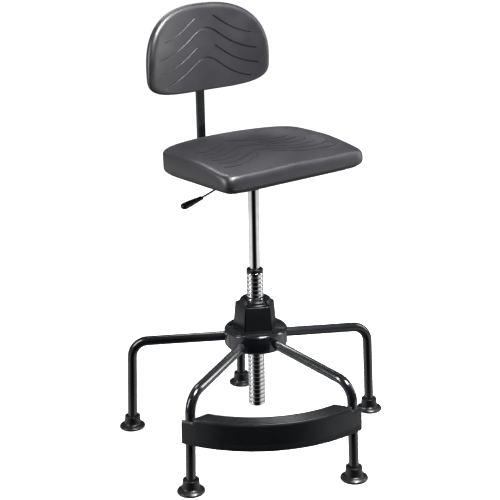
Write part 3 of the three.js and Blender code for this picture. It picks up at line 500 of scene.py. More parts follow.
def plywood():
    """Birch ply: long grain, and plies that show as lines at the edges."""
    s = Shader("plywood", (0.42, 0.28, 0.15), 0.62)
    grain = s.noise(60, 6.0, 0.6, s.stretched((0.15, 1.6, 1.6)))
    plies = s.node("ShaderNodeTexWave", wave_type="BANDS", bands_direction="Z")
    plies.inputs["Scale"].default_value = 95
    s.link(s.place, plies.inputs["Vector"])
    mixed = s.math("ADD", s.math("MULTIPLY", grain, 0.7),
                   s.math("MULTIPLY", plies.outputs["Fac"], 0.3))
    s.color(s.ramp(mixed, 0.3, 0.75), (0.50, 0.35, 0.20), (0.27, 0.165, 0.085))
    s.rough(grain, 0.55, 0.72)
    s.bump(grain, 0.12)
    return s.material


LOOKS = {
    "black_paint": black_enamel(),
    "chrome": chrome(),
    "zinc_steel": zinc_steel(),
    "black_plastic": moulded_plastic("black_nylon", (0.0045, 0.005, 0.006), 0.32, 0.012),
    "glide_rubber": glide_rubber(),
    "skin_foam": skin_foam(),
    "plywood": plywood(),
}
NODE_SLOT = {part["node"]: part["material_slot"] for part in RECORD["subparts"]}

for node, obj in frame["nodes"].items():
    obj.data.materials.clear()
    obj.data.materials.append(LOOKS[NODE_SLOT[node]])


def settle(piece, body, slot, *replaced):
    """Gives a piece its finish, its body, and the CAD nodes it stands for."""
    piece.data.materials.clear()
    piece.data.materials.append(LOOKS[slot])
    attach(piece, body)
    if replaced:
        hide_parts(*replaced)
    return piece


# ------------------------------------------------------------------ legs and glides
def leg_path(bend_steps=24):
    """Centre line of a leg as (radius, height), from inside the hub to inside the glide."""
    corner_z = ((ARM_Z - ARM_SLOPE * (FOOT_R - ARM_START_R)) / (1 - ARM_SLOPE * LEG_SPLAY))
    corner = (FOOT_R - LEG_SPLAY * corner_z, corner_z)
    start = (LEG_INNER, ARM_Z - ARM_SLOPE * (LEG_INNER - ARM_START_R))
    foot_z = 6
    end = (FOOT_R - LEG_SPLAY * foot_z, foot_z)
    return rounded([(*start, 0), (*corner, BEND_R), (*end, 0)], bend_steps)


def leg(i, sides=40):
    path = leg_path()
    azimuth = math.radians(leg_azimuth(i))
    outward = Vector((math.sin(azimuth), -math.cos(azimuth), 0))
    across = Vector((math.cos(azimuth), math.sin(azimuth), 0))
    outer, inner = [], []
    for k, p in enumerate(path):
        after, before = path[min(k + 1, len(path) - 1)], path[max(k - 1, 0)]
        along = outward * (after.x - before.x) + Vector((0, 0, after.y - before.y))
        along.normalize()
        up = across.cross(along)
        centre = outward * p.x + Vector((0, 0, p.y))
        for loops, r in ((outer, TUBE_R), (inner, TUBE_R - TUBE_WALL)):
            loops.append([centre + across * (r * math.cos(2 * math.pi * j / sides))
                          + up * (r * math.sin(2 * math.pi * j / sides))
                          for j in range(sides)])
    name = LEG_NAMES[i]
    piece = loft(f"leg_tube_{name}", outer + inner[::-1], closed=True)
    settle(piece, "base", "black_paint", f"leg_{name}")


def glide(i):
    """A domed rubber foot; its collar leans with the tube."""
    bore = TUBE_R + 0.15
    profile = rounded([
        (30.0, 0, 0), (33.2, 0, 2.0), (GLIDE_R, 2.6, 1.4), (GLIDE_R - 0.4, 6.0, 2.5),
        (29.0, 10.0, 8.0), (22.6, 13.0, 5.0), (20.6, 31.4, 1.2), (21.3, 33.0, 0.8),
        (20.7, GLIDE_H, 0.9), (bore + 0.8, GLIDE_H, 0.6), (bore, GLIDE_H - 1.0, 0.4),
        (bore, 5.0, 0), (bore - 6, 5.0, 0), (bore - 6, 1.2, 0), (29.4, 1.2, 0),
    ], 4)
    foot_at = polar(leg_azimuth(i), FOOT_R, 0)
    inward = -foot_at.normalized()
    loops = []
    for p in profile:
        lean = inward * (LEG_SPLAY * p.y)
        loops.append([q + lean for q in
                      ring_loop(p.x, p.y, 64, (foot_at.x, foot_at.y))])
    name = LEG_NAMES[i]
    piece = loft(f"glide_foot_{name}", loops, closed=True, crease=40)
    settle(piece, "base", "glide_rubber", f"glide_{name}")


for leg_index in range(LEG_COUNT):
    leg(leg_index)
    glide(leg_index)


# ------------------------------------------------------------------ hub
hub_low, hub_high = span("hub_flange")
tower_low, tower_high = span("hub_housing")
jaw_low, jaw_high = span("jaw_1")
post_low, post_high = span("ringed_post")
POST_R = (post_high.x - post_low.x) / 2
JAW_BORE_R = POST_R + 0.4
JAW_R = JAW_BORE_R + JAW_WALL
HALF_STEP = math.pi / LEG_COUNT


def hub_flange():
    """The round casting that holds the arms, with a slotted pocket above each one."""
    bush_r = span("guide_bush")[1].x - 3.6
    low, high = hub_low.z, hub_high.z
    profile = rounded([
        (bush_r, low, 0), (HUB_R - 6, low, 3), (HUB_R - 0.6, low + 7, 6),
        (HUB_R, high - 4.5, 3), (HUB_R - 3.5, high, 1.8), (HUB_R - 5.5, high, 0.8),
        (HUB_R - 6.5, high - 0.9, 0.5), (bush_r, high - 0.9, 0),
    ], 5)
    piece = turned("hub_casting", profile, 120)
    cutters = []
    for i in range(LEG_COUNT):
        azimuth = leg_azimuth(i)
        start = polar(azimuth, LEG_INNER - 2, ARM_Z - ARM_SLOPE * (LEG_INNER - 2 - ARM_START_R))
        end = polar(azimuth, 120, ARM_Z - ARM_SLOPE * (120 - ARM_START_R))
        cutters.append(rod("bore", start, end, TUBE_R + 0.7, 48))
        pocket = slab("pocket", (-6, -SLOT_R - 2.6, high - 7), (6, -SLOT_R + 2.6, high + 2))
        spin_about_axis(pocket, azimuth)
        cutters.append(pocket)
    carve(piece, cutters)
    settle(piece, "base", "black_paint", "hub_flange")


def spin_about_axis(obj, azimuth):
    spin = Matrix.Rotation(math.radians(azimuth), 4, "Z")
    obj.data.transform(Matrix.Translation(AXIS) @ spin @ Matrix.Translation(-AXIS))


def tower_r(z):
    """Corner radius of the five-sided housing at a height."""
    top = (JAW_R + 3.1) / math.cos(HALF_STEP)
    share = (z - tower_low.z) / (tower_high.z - tower_low.z)
    return top + TOWER_TAPER * (1 - share)


def panel(i):
    """One face of the housing, between two corner slots, with rounded edges."""
    middle = leg_azimuth(i) + LEG_STEP / 2
    low, high = tower_low.z + 0.2, tower_high.z

    def corners(z, inset, side_gap):
        out = tower_r(z) * math.cos(HALF_STEP) - inset
        half = out * math.tan(HALF_STEP) - side_gap
        return [(-half, -out), (half, -out)]

    points = []
    for z in (low, high):
        front = corners(z, 0.0, CORNER_SLOT / 2)
        back = corners(z, 5.0, CORNER_SLOT / 2)
        points += [Vector((*front[0], z)), Vector((*front[1], z)),
                   Vector((*back[1], z)), Vector((*back[0], z))]
    faces = [(0, 1, 2, 3), (4, 5, 6, 7)]
    faces += [(k, (k + 1) % 4, 4 + (k + 1) % 4, 4 + k) for k in range(4)]
    piece = build("panel", points, faces)
    round_edges(piece, 1.5, 4)
    spin_about_axis(piece, middle)
    return piece


def foot_strip(i):
    """The housing's small step above the flange, below one face."""
    middle = leg_azimuth(i) + LEG_STEP / 2
    out = tower_r(tower_low.z) * math.cos(HALF_STEP)
    half = out * math.tan(HALF_STEP) - CORNER_SLOT / 2 + 1.2
    piece = slab("strip", (-half, -out - 1.8, tower_low.z), (half, -out + 4, tower_low.z + 2.6),
                 0.8)
    spin_about_axis(piece, middle)
    return piece


def frustum(name, inset, z0, z1):
    """A five-sided body inside the housing's faces."""
    loops = [[polar(leg_azimuth(i), tower_r(z) - inset, z) for i in range(LEG_COUNT)]
             for z in (z0, z1)]
    return loft(name, loops)


def hub_housing():
    core = frustum("core", 5.4, tower_low.z, tower_high.z - 1.2)
    neck = turned("neck", [(JAW_R - 3.6, tower_low.z - 5), (1, tower_low.z - 5),
                           (1, tower_high.z + 5), (JAW_R - 3.6, tower_high.z + 5)], 60)
    carve(core, [neck])
    pieces = [core]
    for i in range(LEG_COUNT):
        pieces.append(panel(i))
        pieces.append(foot_strip(i))
    housing = merge(pieces)
    housing.name = "hub_tower"
    housing.data.set_sharp_from_angle(angle=math.radians(40))
    settle(housing, "base", "black_plastic", "hub_housing")


def jaw(i):
    """One segment of the collar that grips the ringed post."""
    base = tower_high.z
    top = jaw_high.z
    profile = rounded([
        (JAW_BORE_R, jaw_low.z, 0), (JAW_BORE_R + 9, jaw_low.z, 0),
        (JAW_BORE_R + 9, base - 10, 0), (JAW_R - 4, base - 9, 0), (JAW_R - 4, base + 0.3, 0),
        (JAW_R + 2.6, base + 0.3, 0.6), (JAW_R + 2.4, base + 3.4, 1.2),
        (JAW_R + 0.4, base + 5.0, 1.2), (JAW_R - 0.6, top - 2.6, 2.4),
        (JAW_R - 3.5, top, 1.6), (JAW_BORE_R + 8, top, 2.0), (JAW_BORE_R, top - 9.5, 1.5),
    ], 4)
    middle = leg_azimuth(i) + LEG_STEP / 2
    gap = math.degrees(CORNER_SLOT / 2 / JAW_R)
    half = LEG_STEP / 2 - gap
    piece = sector(f"collar_{i + 1}", profile, middle - half, middle + half, 20)
    settle(piece, "base", "black_plastic", f"jaw_{i + 1}")


hub_flange()
hub_housing()
for jaw_index in range(LEG_COUNT):
    jaw(jaw_index)


# ------------------------------------------------------------------ post and gas spring
def ringed_post():
    """Chromed tube rolled into rounded rings; the wall follows them outside only."""
    groove_r = POST_R - RING_DEPTH
    bore = groove_r - 3.4
    outer = [(groove_r - 1.2, post_low.z)]
    rings = round((post_high.z - post_low.z) / RING_PITCH)
    steps = 12
    for i in range(rings):
        for k in range(steps):
            t = (k + 0.5) / steps
            bulge = (1 - abs(2 * t - 1) ** 3.2)
            outer.append((groove_r + RING_DEPTH * bulge,
                          post_low.z + (i + t) * RING_PITCH))
    outer.append((groove_r - 0.4, post_high.z))
    floor_z = 110
    profile = outer + [(bore, post_high.z), (bore, floor_z), (4.6, floor_z),
                       (4.6, floor_z - 6), (13, floor_z - 6), (13, post_low.z)]
    piece = turned("ringed_tube", profile, 72, crease=50)
    settle(piece, "lift_post", "chrome", "ringed_post")


def post_cap():
    low, high = span("post_cap")
    outer = (high.x - low.x) / 2
    bore = span("gas_tube")[1].x + 0.4
    sleeve = bore + 2.7
    shoulder = post_high.z + 0.3
    profile = rounded([
        (bore, low.z, 0), (sleeve, low.z, 0), (sleeve, shoulder, 0), (outer - 0.5, shoulder, 0.3),
        (outer, shoulder + 1.4, 0.8), (outer - 0.3, high.z - 1.6, 1.2), (outer - 2, high.z, 1.0),
        (bore + 3.4, high.z, 1.2), (bore, high.z - 4, 1.0),
    ], 4)
    piece = turned("cap_ring", profile, 72)
    settle(piece, "lift_post", "black_plastic", "post_cap")


def gas_tube():
    low, high = span("gas_tube")
    outer = (high.x - low.x) / 2
    bore = outer - 1.6
    pin = 4.0
    profile = rounded([
        (bore, low.z, 0), (outer - 0.6, low.z, 0.3), (outer, low.z + 0.8, 0.4),
        (outer, high.z - 29.5, 0), (outer - 0.9, high.z - 1.2, 0.6), (outer - 2, high.z, 0.4),
        (pin, high.z, 0), (pin, high.z - 17.5, 0), (bore, high.z - 17.5, 0),
    ], 3)
    piece = turned("gas_cylinder", profile, 80)
    settle(piece, "seat", "chrome", "gas_tube")


def socket():
    low, high = span("taper_socket")
    outer = (high.x - low.x) / 2
    bore = span("gas_tube")[1].x + 0.3
    profile = rounded([
        (bore, low.z, 0), (outer - 8.4, low.z, 0.5), (outer - 7, low.z + 1.8, 0.8),
        (outer - 7, high.z - 6.5, 2.5), (outer, high.z - 3.6, 0.6), (outer, high.z, 0.4),
        (bore, high.z, 0),
    ], 4)
    piece = turned("taper_boss", profile, 64)
    settle(piece, "seat", "black_paint", "taper_socket")


ringed_post()
post_cap()
gas_tube()
socket()


# ------------------------------------------------------------------ footrest
TREAD_WALL = 3
RIB_HEIGHT = 18
RIB_PITCH = 3.0
BOLT_Z = 177
LUG_THICK = 2.6
LUG_HALF_HEIGHT = 11
tread_low, tread_high = span("footrest")
LAST_LEG = leg_azimuth(LEG_COUNT - 1) - 360


def arc_degrees(length):
    """Degrees of azimuth for a length along the legs' circle."""
    return math.degrees(length / FOOT_R)


def skirt_r(z):
    """The skirt's outer face: it follows the legs' lean."""
    return FOOT_R - LEG_SPLAY * z + TUBE_R + 0.8 + TREAD_WALL


def skirt_profile(top_z):
    """Section of the curved front, set back at its lower edge where the ribs stand."""
    low = tread_low.z
    rib_top = low + RIB_HEIGHT
    outer = skirt_r(low) - 0.6
    return rounded([
        (skirt_r(low) - TREAD_WALL, low, 0), (outer, low, 0.8), (skirt_r(rib_top), rib_top, 0),
        (skirt_r(top_z) - 0.1, top_z - 5.5, 5.0), (skirt_r(top_z) - 3.0, top_z, 2.4),
        (skirt_r(top_z) - TREAD_WALL - 3.4, top_z, 0.6),
        (skirt_r(top_z) - TREAD_WALL - 0.2, top_z - 7.5, 0),
    ], 4)


def skirt():
    """The curved front over the full width, lower in front of the two legs."""
    end = arc_degrees(TUBE_R + 3.0)
    notch = arc_degrees(TUBE_R + 4.0)
    start, stop = LAST_LEG - end, FIRST_LEG + end
    loops = []
    steps = 120
    for i in range(steps + 1):
        azimuth = start + (stop - start) * i / steps
        inside = min(azimuth - LAST_LEG - notch, FIRST_LEG - notch - azimuth)
        top = tread_high.z - 8.5 * (1 - smoothstep(inside, -0.4, 0.5))
        loops.append([polar(azimuth, p.x, p.y) for p in skirt_profile(top)])
    return loft("skirt", loops, crease=38)


def rib_band():
    """Fine upright ribs along the skirt's lower edge."""
    end = arc_degrees(TUBE_R + 1.5)
    start, stop = LAST_LEG - end, FIRST_LEG + end
    count = int(math.radians(stop - start) * skirt_r(tread_low.z) / RIB_PITCH)
    points, faces = [], []
    low, high = tread_low.z + 0.8, tread_low.z + RIB_HEIGHT
    for k in range(count):
        middle = start + (stop - start) * (k + 0.5) / count
        half = 0.29 * (stop - start) / count
        base = len(points)
        for z, proud in ((low, 0.35), (high - 1.2, 0.55), (high, -0.3)):
            out = skirt_r(z) - 0.35
            points += [polar(middle - half, out - 0.9, z), polar(middle - half * 0.6, out + proud, z),
                       polar(middle + half * 0.6, out + proud, z), polar(middle + half, out - 0.9, z)]
        for row in (0, 4):
            a = base + row
            faces += [(a + j, a + (j + 1) % 4, a + 4 + (j + 1) % 4, a + 4 + j) for j in range(4)]
        faces += [tuple(base + j for j in range(4)), tuple(base + 8 + j for j in range(4))]
    return build("ribs", points, faces)


def tread():
    """The step itself, ridged along its length; its ends are cut at a slant."""
    top = tread_high.z
    front = skirt_r(top) - TREAD_WALL - 1.0
    back = tread_inner_r()
    ridge_count = 5
    section = [(front, top - 1.6), (front - 1.4, top - 0.2), (front - 5.0, top)]
    ridge_start, ridge_end = front - 7.0, back + 5.0
    pitch = (ridge_start - ridge_end) / ridge_count
    for k in range(ridge_count):
        r = ridge_start - k * pitch
        section += [(r, top - 1.3), (r - 0.16 * pitch, top - 0.2), (r - 0.5 * pitch, top),
                    (r - 0.84 * pitch, top - 0.2)]
    section += [(ridge_end, top - 1.3), (back + 2.6, top - 0.2), (back + 0.8, top - 0.8),
                (back, top - 2.4), (back, top - 8), (back + 2.6, top - 8),
                (back + 3.6, top - 4.2), (back + 5.0, top - 3.6), (front - 2, top - 3.6)]
    loops = []
    steps = 96
    for i in range(steps + 1):
        share = i / steps
        loop = []
        for r, z in section:
            slant = 3.6 * (front - r) / (front - back)
            start = LAST_LEG + 2.2 + slant
            stop = FIRST_LEG - 2.2 - slant
            loop.append(polar(start + (stop - start) * share, r, z))
        loops.append(loop)
    return loft("tread", loops, crease=45)


def tread_inner_r():
    """Radius of the tread's inner edge, from the CAD node."""
    nearest = min((((v.co - AXIS) / MM).xy.length for v in frame["nodes"]["footrest"].data.vertices
                   if v.co.z / MM > tread_high.z - 3), default=311)
    return nearest


def lug(azimuth, side):
    """Ear beside a leg, which the cross bolt clamps."""
    r = FOOT_R - LEG_SPLAY * BOLT_Z
    inner = TUBE_R + 0.4
    near = inner if side > 0 else -inner - LUG_THICK
    low = (near, -skirt_r(BOLT_Z) + 1.2, BOLT_Z - LUG_HALF_HEIGHT)
    high = (near + LUG_THICK, -r + 9, BOLT_Z + LUG_HALF_HEIGHT)
    piece = slab("lug", low, high, 0.7)
    spin_about_axis(piece, azimuth)
    return piece


def footrest():
    parts = [skirt(), rib_band(), tread()]
    for azimuth in (LAST_LEG, FIRST_LEG):
        parts += [lug(azimuth, 1), lug(azimuth, -1)]
    piece = merge(parts)
    piece.name = "footrest_moulding"
    piece.data.set_sharp_from_angle(angle=math.radians(38))
    settle(piece, "base", "black_plastic", "footrest")


footrest()

# ------------------------------------------------------------------ seat
seat_low, seat_high = span("seat_cushion")
SEAT_HALF = seat_high.x
SEAT_CENTRE_Y = -10
SEAT_FRONT = SEAT_CENTRE_Y - seat_low.y
SEAT_REAR = 122
SEAT_BULGE = seat_high.y - SEAT_CENTRE_Y - SEAT_REAR
RIM_SHARE = 0.93
DISH_SHARE = 0.52
SEAT_CHEVRONS = 6
SEAT_FRONT_POWER = 19
SEAT_REAR_POWER = 7
PARTING_Z = seat_low.z + 15


def seat_reach(angle):
    """Distance from the seat's centre to its outline."""
    c, s = math.cos(angle), math.sin(angle)
    depth = SEAT_FRONT if s <= 0 else SEAT_REAR
    power = SEAT_FRONT_POWER if s <= 0 else SEAT_REAR_POWER
    reach = ((abs(c) / SEAT_HALF) ** power + (abs(s) / depth) ** power) ** (-1 / power)
    x, y = reach * c, reach * s
    if s > 0:
        y *= 1 + SEAT_BULGE * (1 - (x / SEAT_HALF) ** 2) / SEAT_REAR
    return Vector((x, y))


def seat_share(x, y):
    """How far a point lies from the centre towards the outline, 0 to 1."""
    here = Vector((x, y - SEAT_CENTRE_Y))
    if here.length < 1e-6:
        return 0.0
    angle = math.atan2(here.y, here.x)
    for _ in range(4):
        edge = seat_reach(angle)
        miss = math.atan2(here.y, here.x) - math.atan2(edge.y, edge.x)
        angle += miss
    return here.length / seat_reach(angle).length


def seat_top(x, y, share=None):
    """Height of the seat's upper surface inside its rim."""
    share = seat_share(x, y) if share is None else share
    front = smoothstep(-y, 20, 190)
    rim = seat_high.z - 17 * front
    floor_z = seat_high.z - SEAT_DISH - 4 * front
    pommel = 2.5 * math.exp(-(x / 60) ** 2) * front
    return floor_z + (rim - floor_z) * smoothstep(share, DISH_SHARE, 0.97) + pommel


def seat_section(angle):
    """Points from under the board out over the edge to the middle of the top."""
    reach = seat_reach(angle)
    low = seat_low.z
    points = []

    def add(share, z):
        points.append(Vector((reach.x * share, reach.y * share + SEAT_CENTRE_Y, z)))

    board = BOARD_SHARE + 0.003
    for share in (0.02, 0.5, 0.88, board):
        add(share, low + 7.3)
    add(board, low + 0.6)
    edge = Vector((reach.x * RIM_SHARE, reach.y * RIM_SHARE + SEAT_CENTRE_Y))
    rim_z = seat_top(edge.x, edge.y, RIM_SHARE)
    for share, z in rounded([
            (board + 0.006, low, 0), (0.935, low, 0), (0.975, low + 6, 0),
            (0.992, low + 11, 0), (0.997, PARTING_Z - 1.4, 0)], 3):
        add(share, z)
    add(0.9968, PARTING_Z - 0.4)
    add(0.9945, PARTING_Z)
    add(0.9972, PARTING_Z + 0.4)
    add(0.9982, PARTING_Z + 1.4)
    shoulder = 11 + 13 * smoothstep(-edge.y, 120, 168)
    start_z = rim_z - shoulder
    add(1.0, PARTING_Z + 0.55 * (start_z - PARTING_Z))
    steps = 12
    for k in range(steps + 1):
        turn = math.pi / 2 * k / steps
        share = RIM_SHARE + (1 - RIM_SHARE) * math.cos(turn) ** 0.9
        add(share, start_z + shoulder * math.sin(turn))
    rows = 30
    for k in range(1, rows + 1):
        share = RIM_SHARE * (1 - k / rows) + 0.004
        add(share, seat_top(reach.x * share, reach.y * share + SEAT_CENTRE_Y, share))
    return points


def loops_around(section, segments):
    """Closed loops through the same point of a section at every angle."""
    columns = [section(2 * math.pi * (j + 0.5) / segments) for j in range(segments)]
    return [list(loop) for loop in zip(*columns)]


def groove(line, radius=GROOVE_R):
    """Cutters for an engraved line: a round channel with round ends."""
    end_r = radius * 0.999
    return [loft("channel", tube_loops(line, radius, 10)),
            sphere("round_start", line[0], end_r, 8, 10),
            sphere("round_end", line[-1], end_r, 8, 10)]


def chevron(x, apex, height, width):
    """A rounded peak at x = 0 that falls away to both sides."""
    return apex - height * x * x / (x * x + width * width)


def chevron_lines(apex, height, width, inner, outer, step=3.0):
    """The line's x and the peak's value there: one line, or two where it is broken."""
    count = round((outer - inner) / step)
    arm = [inner + (outer - inner) * k / count for k in range(count + 1)]
    if inner > 0:
        spans = [[-x for x in arm], arm]
    else:
        spans = [[-x for x in reversed(arm[1:])] + arm]
    return [[(x, chevron(x, apex, height, width)) for x in xs] for xs in spans]


def seat():
    piece = loft("seat_pad", loops_around(seat_section, 216), crease=50)
    cutters = []
    for k in range(SEAT_CHEVRONS):
        broken = k % 2 == 1
        inner = 63 - 8 * k if broken else 0
        lines = chevron_lines(97 - 28.8 * k, 69 + 2.5 * k, 77, inner, 145 + 6.2 * k)
        for line in lines:
            path = [Vector((x, y, seat_top(x, y) - GROOVE_SINK)) for x, y in line]
            cutters += groove(path)
    engrave(piece, cutters)
    settle(piece, "seat", "skin_foam", "seat_cushion")


def engrave(piece, cutters):
    """Cuts the channels first and then their round ends, so that no cutter meets another."""
    kinds = ("channel", "round_start", "round_end")
    groups = [[c for c in cutters if c.name.startswith(kind)] for kind in kinds]
    for group in groups:
        carve(piece, group, crease=50)


seat()

# ------------------------------------------------------------------ back
back_low, back_high = span("back_cushion")
BACK_HALF = back_high.x
BACK_LOWER = 60
BACK_SAG = 3                # the foam reaches a little below the CAD solid
BACK_UPPER = back_high.z - back_low.z - BACK_LOWER
BACK_CENTRE_Z = back_low.z + BACK_LOWER
BACK_MID_Y = 187
BACK_LEAN = 0.035
BACK_WRAP = 25
BACK_THICK = 31
BACK_LOWER_POWER = 3.4
BACK_UPPER_POWER = 2.55
BACK_ROLL_START = 0.90
BACK_SHIFT = -4             # the pad sits this far to the sitter's right
CHEVRON_SHIFT = -1.5


def back_reach(angle):
    c, s = math.cos(angle), math.sin(angle)
    power = BACK_LOWER_POWER if s < 0 else BACK_UPPER_POWER
    depth = BACK_LOWER + BACK_SAG if s < 0 else BACK_UPPER
    return Vector((BACK_HALF * math.copysign(abs(c) ** (2 / power), c),
                   depth * math.copysign(abs(s) ** (2 / power), s)))


def back_point(x, v, forward):
    """A point of the back: x across, v above its widest line, forward of its mid-plane."""
    lean = (v + BACK_LOWER) * BACK_LEAN
    wrap = BACK_WRAP * (x / BACK_HALF) ** 2
    return Vector((x + BACK_SHIFT, BACK_MID_Y + lean - wrap - forward, BACK_CENTRE_Z + v))


def back_front(v):
    """Front surface ahead of the mid-plane: it leans away above and tucks in below."""
    up = max(v, 0.0) / BACK_UPPER
    down = smoothstep(-v, -60, BACK_LOWER + 25)
    return BACK_THICK / 2 - 6.0 * up ** 2 - 11.0 * down


def back_section(angle):
    reach = back_reach(angle)
    half = BACK_THICK / 2
    points = []

    def add(share, forward):
        points.append(back_point(reach.x * share, reach.y * share, forward))

    for share in (0.02, 0.3, 0.55, 0.75, 0.86):
        add(share, -half)
    steps = 8
    for k in range(1, steps + 1):
        turn = math.pi / 2 * k / steps
        add(0.90 + 0.095 * math.sin(turn), -half + 9 * (1 - math.cos(turn)))
    add(0.9985, -5.5)
    add(0.9975, -4.7)
    add(0.9955, -4.3)
    add(0.9980, -3.9)
    add(0.9995, -3.0)
    steps = 14
    for k in range(steps + 1):
        turn = math.pi / 2 * k / steps
        share = BACK_ROLL_START + (1 - BACK_ROLL_START) * math.cos(turn) ** 0.85
        front = back_front(reach.y * share)
        add(share, -1.5 + (front + 1.5) * math.sin(turn))
    rows = 30
    for k in range(1, rows + 1):
        share = BACK_ROLL_START * (1 - k / rows) + 0.004
        add(share, back_front(reach.y * share))
    return points


def back():
    piece = loft("back_pad", loops_around(back_section, 192), crease=50)
    board_low, board_high = span("back_board")
    pocket = slab("pocket", board_low - Vector((0.4, 0.4, 0.4)),
                  board_high + Vector((0.4, 40, 0.4)))
    carve(piece, [pocket], crease=50)
    cutters = []
    outers = [136, 151, 154, 137]
    for k, outer in enumerate(outers):
        inner = 28 if k % 2 == 0 else 0
        for line in chevron_lines(196 - 37.6 * k, 81, 77, inner, outer):
            path = [on_back(x + CHEVRON_SHIFT, z - BACK_LOWER) for x, z in line]
            cutters += groove(path)
    engrave(piece, cutters)
    settle(piece, "backrest", "skin_foam", "back_cushion")


def on_back(x, v):
    """A point just under the back's front surface."""
    return back_point(x, v, back_front(v) - GROOVE_SINK)


back()


# ------------------------------------------------------------------ back bar, lever, knobs
def back_bar():
    """Flat bar with rounded edges, bent up behind the seat."""
    low, high = span("back_bar")
    z = low.z + BAR_THICK / 2
    y = high.y - BAR_THICK / 2
    path = rounded([(low.y, z, 0), (y, z, BAR_BEND_R), (y, high.z, 0)], 20)
    section = rounded_rectangle(BAR_WIDTH / 2, BAR_THICK / 2, 1.6)
    loops = []
    for k, p in enumerate(path):
        after, before = path[min(k + 1, len(path) - 1)], path[max(k - 1, 0)]
        along_bar = Vector((0, after.x - before.x, after.y - before.y)).normalized()
        up = Vector((1, 0, 0)).cross(along_bar)
        loops.append([Vector((a, p.x, p.y)) + up * b for a, b in section])
    piece = loft("back_upright", loops)
    settle(piece, "back_support", "black_paint", "back_bar")


def rounded_rectangle(a, b, radius, steps=4):
    points = []
    for corner, (sx, sy) in enumerate(((1, 1), (-1, 1), (-1, -1), (1, -1))):
        for k in range(steps + 1):
            angle = math.pi / 2 * (corner + k / steps)
            points.append((sx * (a - radius) + radius * math.cos(angle),
                           sy * (b - radius) + radius * math.sin(angle)))
    return points


LEVER_Y = 15
LEVER_FALL = 0.315
HANDLE_START = -149
HANDLE_LENGTH = 66
HANDLE_FALL = 0.22
pan_low = span("mechanism_pan")[0]
LEVER_PIVOT_X = -36
LEVER_PIVOT_Z = pan_low.z + 15


def lever_rod():
    low, high = span("lever_rod")
    radius = 2.5
    start = (high.x, LEVER_Y, high.z - radius)
    end = (low.x + 0.4, LEVER_Y, low.z + radius)
    piece = rod("lever_wire", start, end, radius, 28)
    settle(piece, "lever", "black_paint", "lever_rod")


def lever_handle():
    """A flattened grip that grows wider and thicker towards its round end."""
    start_z = LEVER_PIVOT_Z - LEVER_FALL * (LEVER_PIVOT_X - HANDLE_START)
    start = Vector((HANDLE_START, LEVER_Y, start_z))
    direction = Vector((-1, 0, -HANDLE_FALL)).normalized()
    across = Vector((0, 1, 0))
    up = direction.cross(across)
    loops = []
    steps = 44
    for k in range(steps + 1):
        share = k / steps
        at = start + direction * (HANDLE_LENGTH * share)
        tip = max(0.0, (share - 0.84) / 0.16)
        root = max(0.0, 1 - share / 0.05)
        end_round = math.sqrt(max(0.0, 1 - tip ** 2))
        root_round = 1 - 0.3 * root ** 2
        width = max(0.3, (6.6 + 2.8 * smoothstep(share, 0.0, 0.6)) * end_round * root_round)
        thick = max(0.3, (4.2 + 3.2 * smoothstep(share, 0.0, 0.8)) * end_round * root_round)
        loops.append([at + across * x + up * z for x, z in flattened_round(width, thick)])
    piece = loft("lever_paddle", loops, crease=50)
    settle(piece, "lever", "black_plastic", "lever_handle")


def flattened_round(width, thick, count=36):
    """An oval with nearly flat faces and soft edges."""
    points = []
    for j in range(count):
        a = 2 * math.pi * j / count
        c, s = math.cos(a), math.sin(a)
        points.append((width * math.copysign(abs(c) ** 0.62, c),
                       thick * math.copysign(abs(s) ** 0.62, s)))
    return points


def knob_piece(name, node, body, direction):
    """A six-lobed clamp knob with its stud."""
    low, high = span(node)
    centre = (low + high) / 2
    radius = (high.x - low.x) / 2
    grip = 20
    if direction == "up":
        outer = Vector((centre.x, centre.y, low.z))
        axis = Vector((0, 0, 1))
        side = Vector((1, 0, 0))
        length = high.z - low.z
    else:
        outer = Vector((centre.x, high.y, centre.z))
        axis = Vector((0, -1, 0))
        side = Vector((1, 0, 0))
        length = high.y - low.y
    other = axis.cross(side)
    profile = rounded([
        (0.5, 0.0, 0), (radius - 4.5, 0.0, 2.5), (radius, 3.0, 2.5), (radius - 0.3, grip - 5, 2.5),
        (radius - 7, grip - 1.5, 2.5), (9, grip, 1.0), (4, grip, 0), (4, length, 0),
    ], 4)
    loops = []
    for p in profile:
        loop = []
        for j in range(96):
            a = 2 * math.pi * j / 96
            lobe = 1.0
            if p.x > 9.5:
                lobe = 1.0 - 0.11 * (0.5 - 0.5 * math.cos(6 * a)) ** 1.5
            r = p.x * lobe
            loop.append(outer + axis * p.y + side * (r * math.cos(a)) + other * (r * math.sin(a)))
        loops.append(loop)
    piece = loft(name, loops, crease=45)
    settle(piece, body, "black_plastic", node)


back_bar()
lever_rod()
lever_handle()
knob_piece("depth_grip", "depth_knob", "depth_clamp", "up")
knob_piece("height_grip", "height_knob", "height_clamp", "back")


# ------------------------------------------------------------------ floor, light, background
def floor():
    """Pale floor that glows a little, as a lit sweep does; it lights nothing itself."""
    size = 14000
    mesh = bpy.data.meshes.new("floor")
    mesh.from_pydata([Vector((x, y, -0.3)) * MM for x, y in
                      ((-size, -size), (size, -size), (size, size), (-size, size))],
                     [], [(0, 1, 2, 3)])
    piece = bpy.data.objects.new("floor", mesh)
    bpy.context.scene.collection.objects.link(piece)
    s = Shader("studio_floor", (0.86, 0.86, 0.86), 0.6)
    s.rough(s.noise(3, 3.0), 0.55, 0.7)
    s.set(Emission_Color=(1, 1, 1, 1), Emission_Strength=FLOOR_GLOW)
    mesh.materials.append(s.material)
    piece.visible_diffuse = False
    piece.visible_glossy = False


